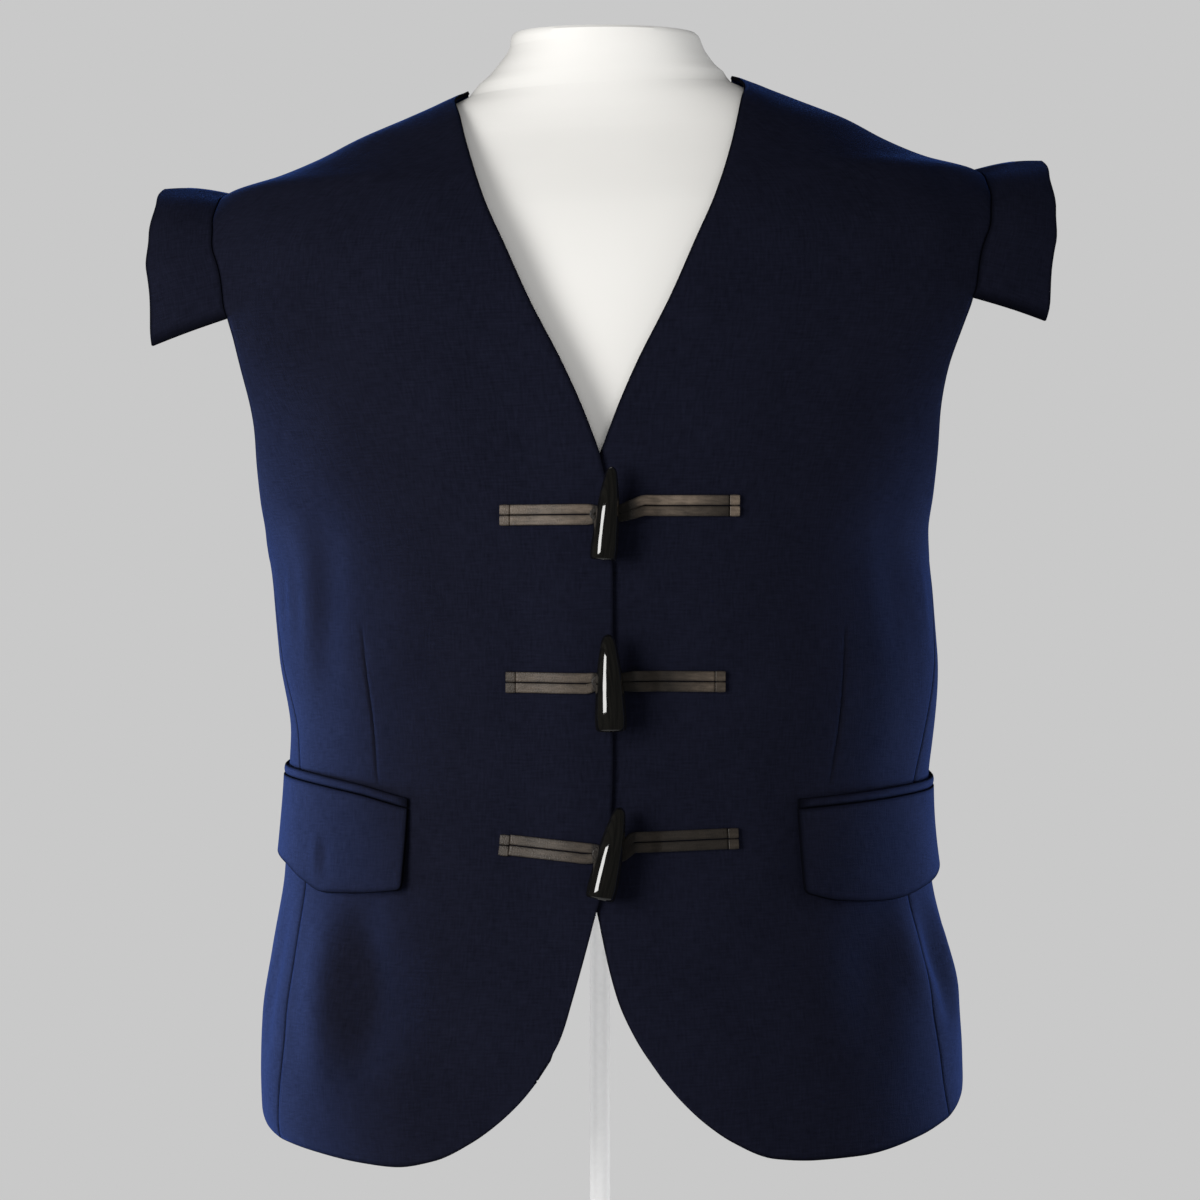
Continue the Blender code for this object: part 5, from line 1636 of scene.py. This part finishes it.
def add_light(row):
    """A soft rectangular light that mirrors don't show."""
    data = bpy.data.lights.new(row.name, "AREA")
    data.shape = "RECTANGLE"
    data.size, data.size_y = row.size
    data.energy = row.power
    data.color = row.colour
    data.spread = math.radians(row.spread)
    light = bpy.data.objects.new(row.name, data)
    light.location = row.place
    light.rotation_euler = (Vector(row.aim) - Vector(row.place)).to_track_quat("-Z", "Y").to_euler()
    light.visible_camera = False
    light.visible_glossy = False
    if row.only_on:
        light.light_linking.receiver_collection = light_group(row.only_on)
    if row.blocked_by:
        light.light_linking.blocker_collection = light_group(row.blocked_by)
    bpy.context.scene.collection.objects.link(light)
    return light


def light_group(slot):
    """The pieces of one slot, for the lights that reach them alone."""
    name = f"lit_{slot}"
    return bpy.data.collections.get(name) or bpy.data.collections.new(name)


def add_world():
    """A plain grey that the camera sees, a room that lights the piece, and a dim one for reflections."""
    world = bpy.data.worlds.new("studio")
    world.use_nodes = True
    tree = world.node_tree
    shader = tree.nodes["Background"]
    path = put(tree, "ShaderNodeLightPath", {})
    way = put(tree, "ShaderNodeTexCoord", {})
    up = put(tree, "ShaderNodeSeparateXYZ", {0: way.outputs["Generated"]}).outputs["Z"]
    rise = ranged(tree, up, 0.0, OVERHEAD_RISE, way="SMOOTHSTEP")
    room = colours(tree, rise, grey(ROOM_LEVEL), grey(OVERHEAD_LEVEL))
    room = colours(tree, path.outputs["Is Glossy Ray"], room, grey(MIRRORED_LEVEL))
    colour = colours(tree, path.outputs["Is Camera Ray"], room, grey(BACKGROUND_LEVEL))
    tree.links.new(colour, shader.inputs["Color"])
    bpy.context.scene.world = world


def add_floor():
    """A pale round floor that fades into the background."""
    shape = bmesh.new()
    bmesh.ops.create_circle(shape, cap_ends=True, segments=TURN_STEPS, radius=FLOOR_RADIUS)
    mesh = mesh_of(shape, "floor")
    material, tree, shader, spot = new_material("floor")
    shader.inputs["Base Color"].default_value = grey(FLOOR_LEVEL)
    shader.inputs["Roughness"].default_value = 0.8
    away = put(tree, "ShaderNodeVectorMath", {0: spot["Object"]}, operation="LENGTH").outputs["Value"]
    fade = ranged(tree, away, FLOOR_FADE_START, FLOOR_RADIUS, way="SMOOTHSTEP")
    clear = put(tree, "ShaderNodeBsdfTransparent", {})
    mixed = put(tree, "ShaderNodeMixShader", {0: fade, 1: shader.outputs[0], 2: clear.outputs[0]})
    tree.links.new(mixed.outputs[0], tree.nodes["Material Output"].inputs["Surface"])
    mesh.materials.append(material)
    floor = bpy.data.objects.new("floor", mesh)
    bpy.context.scene.collection.objects.link(floor)


class WaistcoatCloth(bpy.types.PropertyGroup):
    """Sizes and colour of the cloth."""

    wool_colour: FloatVectorProperty(
        name="Wool", description="Colour of the wool", subtype="COLOR", default=(0.0081, 0.0090, 0.0184),
        min=0.0, max=1.0,
    )
    nap: FloatProperty(
        name="Nap", description="Soft shine of the nap", subtype="FACTOR", default=0.36, min=0.0, max=1.0,
    )
    waviness: FloatProperty(
        name="Waviness", description="Height of the slow waves", subtype="FACTOR", default=1.0,
        min=0.0, max=2.0,
    )


class WaistcoatTrim(bpy.types.PropertyGroup):
    """Colours of leather and horn."""

    leather_colour: FloatVectorProperty(
        name="Leather", description="Colour of the straps", subtype="COLOR", default=(0.160, 0.123, 0.092),
        min=0.0, max=1.0,
    )
    horn_colour: FloatVectorProperty(
        name="Horn", description="Colour of the toggles", subtype="COLOR", default=(0.0030, 0.0028, 0.0022),
        min=0.0, max=1.0,
    )


class WaistcoatStudio(bpy.types.PropertyGroup):
    """Camera and light."""

    lens: FloatProperty(
        name="Lens", description="Focal length in millimetres", unit="CAMERA", default=125.0, min=10.0,
    )
    distance: FloatProperty(
        name="Distance", description="From the camera to the middle", unit="LENGTH", default=2.5, min=0.5,
    )
    camera_height: FloatProperty(
        name="Camera height", description="Above the floor", unit="LENGTH", default=0.431,
    )
    key_power: FloatProperty(
        name="Key light", description="Power in watts", unit="POWER", default=21.5, min=0.0,
    )


class WAISTCOAT_OT_stage(bpy.types.Operator):
    """Add the camera, the lights, the background and the floor."""

    bl_idname = "waistcoat.stage"
    bl_label = "Stage"

    def execute(self, context):
        studio = context.scene.waistcoat_studio
        context.scene.view_settings.view_transform = "Standard"
        add_camera()
        add_world()
        add_floor()
        key = add_light(KEY_LIGHT._replace(power=studio.key_power))
        key.visible_glossy = True
        for row in LIGHTS:
            add_light(row)
        return {"FINISHED"}


class WAISTCOAT_OT_fronts(bpy.types.Operator):
    """Make both fronts and their darts."""

    bl_idname = "waistcoat.fronts"
    bl_label = "Fronts"

    def execute(self, context):
        for side, edge, lobe in (("left", OVER_EDGE, LOBE), ("right", UNDER_EDGE, UNDER_LOBE)):
            places = front_patch(edge, lobe)
            piece = cloth_panel(f"front_{side}", places, side, lapping=side == "left")
            press_dart(piece, front_line(DART, side))
        return {"FINISHED"}


class WAISTCOAT_OT_sides(bpy.types.Operator):
    """Make the panels under the arms."""

    bl_idname = "waistcoat.sides"
    bl_label = "Side panels"

    def execute(self, context):
        for side in ("left", "right"):
            piece = cloth_panel(f"side_{side}", side_patch(), side)
        return {"FINISHED"}


class WAISTCOAT_OT_back(bpy.types.Operator):
    """Make the back."""

    bl_idname = "waistcoat.back"
    bl_label = "Back"

    def execute(self, context):
        piece = cloth_panel("back", back_patch(), "right")
        return {"FINISHED"}


class WAISTCOAT_OT_wings(bpy.types.Operator):
    """Make the shoulder wings."""

    bl_idname = "waistcoat.wings"
    bl_label = "Shoulder wings"

    def execute(self, context):
        for side in ("left", "right"):
            add_wing(side)
        return {"FINISHED"}


class WAISTCOAT_OT_pockets(bpy.types.Operator):
    """Make the pocket flaps and the strips above them."""

    bl_idname = "waistcoat.pockets"
    bl_label = "Pockets"

    def execute(self, context):
        for side in ("left", "right"):
            add_flap(side)
            add_jet(side)
        return {"FINISHED"}


class WAISTCOAT_OT_fastenings(bpy.types.Operator):
    """Make the leather loops, their sewn ends and the horn toggles."""

    bl_idname = "waistcoat.fastenings"
    bl_label = "Fastenings"

    def execute(self, context):
        for number, (row, horn, tones) in enumerate(zip(FASTENINGS, HORNS, TONES), start=1):
            add_straps(number, row, tones)
            add_tab(number, "left", row.left_end, row.left_part, tones.tab_left)
            add_tab(number, "right", row.right_end, row.right_part, tones.tab_right)
            add_toggle(number, row, horn)
        return {"FINISHED"}


class WAISTCOAT_OT_form(bpy.types.Operator):
    """Make the dress form and its stand."""

    bl_idname = "waistcoat.form"
    bl_label = "Dress form"

    def execute(self, context):
        add_form()
        add_stand()
        return {"FINISHED"}


OPERATORS = (
    WAISTCOAT_OT_stage,
    WAISTCOAT_OT_form,
    WAISTCOAT_OT_fronts,
    WAISTCOAT_OT_back,
    WAISTCOAT_OT_sides,
    WAISTCOAT_OT_wings,
    WAISTCOAT_OT_pockets,
    WAISTCOAT_OT_fastenings,
)


class WAISTCOAT_PT_build(bpy.types.Panel):
    """Lists the steps and their sizes."""

    bl_label = "Waistcoat"
    bl_idname = "WAISTCOAT_PT_build"
    bl_space_type = "VIEW_3D"
    bl_region_type = "UI"
    bl_category = "Waistcoat"

    def draw(self, context):
        for group in (context.scene.waistcoat_cloth, context.scene.waistcoat_trim,
                      context.scene.waistcoat_studio):
            box = self.layout.box()
            for name in group.__annotations__:
                box.prop(group, name)
        for operator in OPERATORS:
            self.layout.operator(operator.bl_idname)


GROUPS = {
    "waistcoat_cloth": WaistcoatCloth,
    "waistcoat_trim": WaistcoatTrim,
    "waistcoat_studio": WaistcoatStudio,
}


def register():
    for group in GROUPS.values():
        bpy.utils.register_class(group)
    for operator in OPERATORS:
        bpy.utils.register_class(operator)
    bpy.utils.register_class(WAISTCOAT_PT_build)
    for name, group in GROUPS.items():
        setattr(bpy.types.Scene, name, PointerProperty(type=group))


def unregister():
    for name in GROUPS:
        delattr(bpy.types.Scene, name)
    bpy.utils.unregister_class(WAISTCOAT_PT_build)
    for operator in reversed(OPERATORS):
        bpy.utils.unregister_class(operator)
    for group in reversed(list(GROUPS.values())):
        bpy.utils.unregister_class(group)


def main():
    register()
    bpy.ops.waistcoat.stage()
    bpy.ops.waistcoat.form()
    bpy.ops.waistcoat.fronts()
    bpy.ops.waistcoat.back()
    bpy.ops.waistcoat.sides()
    bpy.ops.waistcoat.wings()
    bpy.ops.waistcoat.pockets()
    bpy.ops.waistcoat.fastenings()


if __name__ == "__main__":
    main()
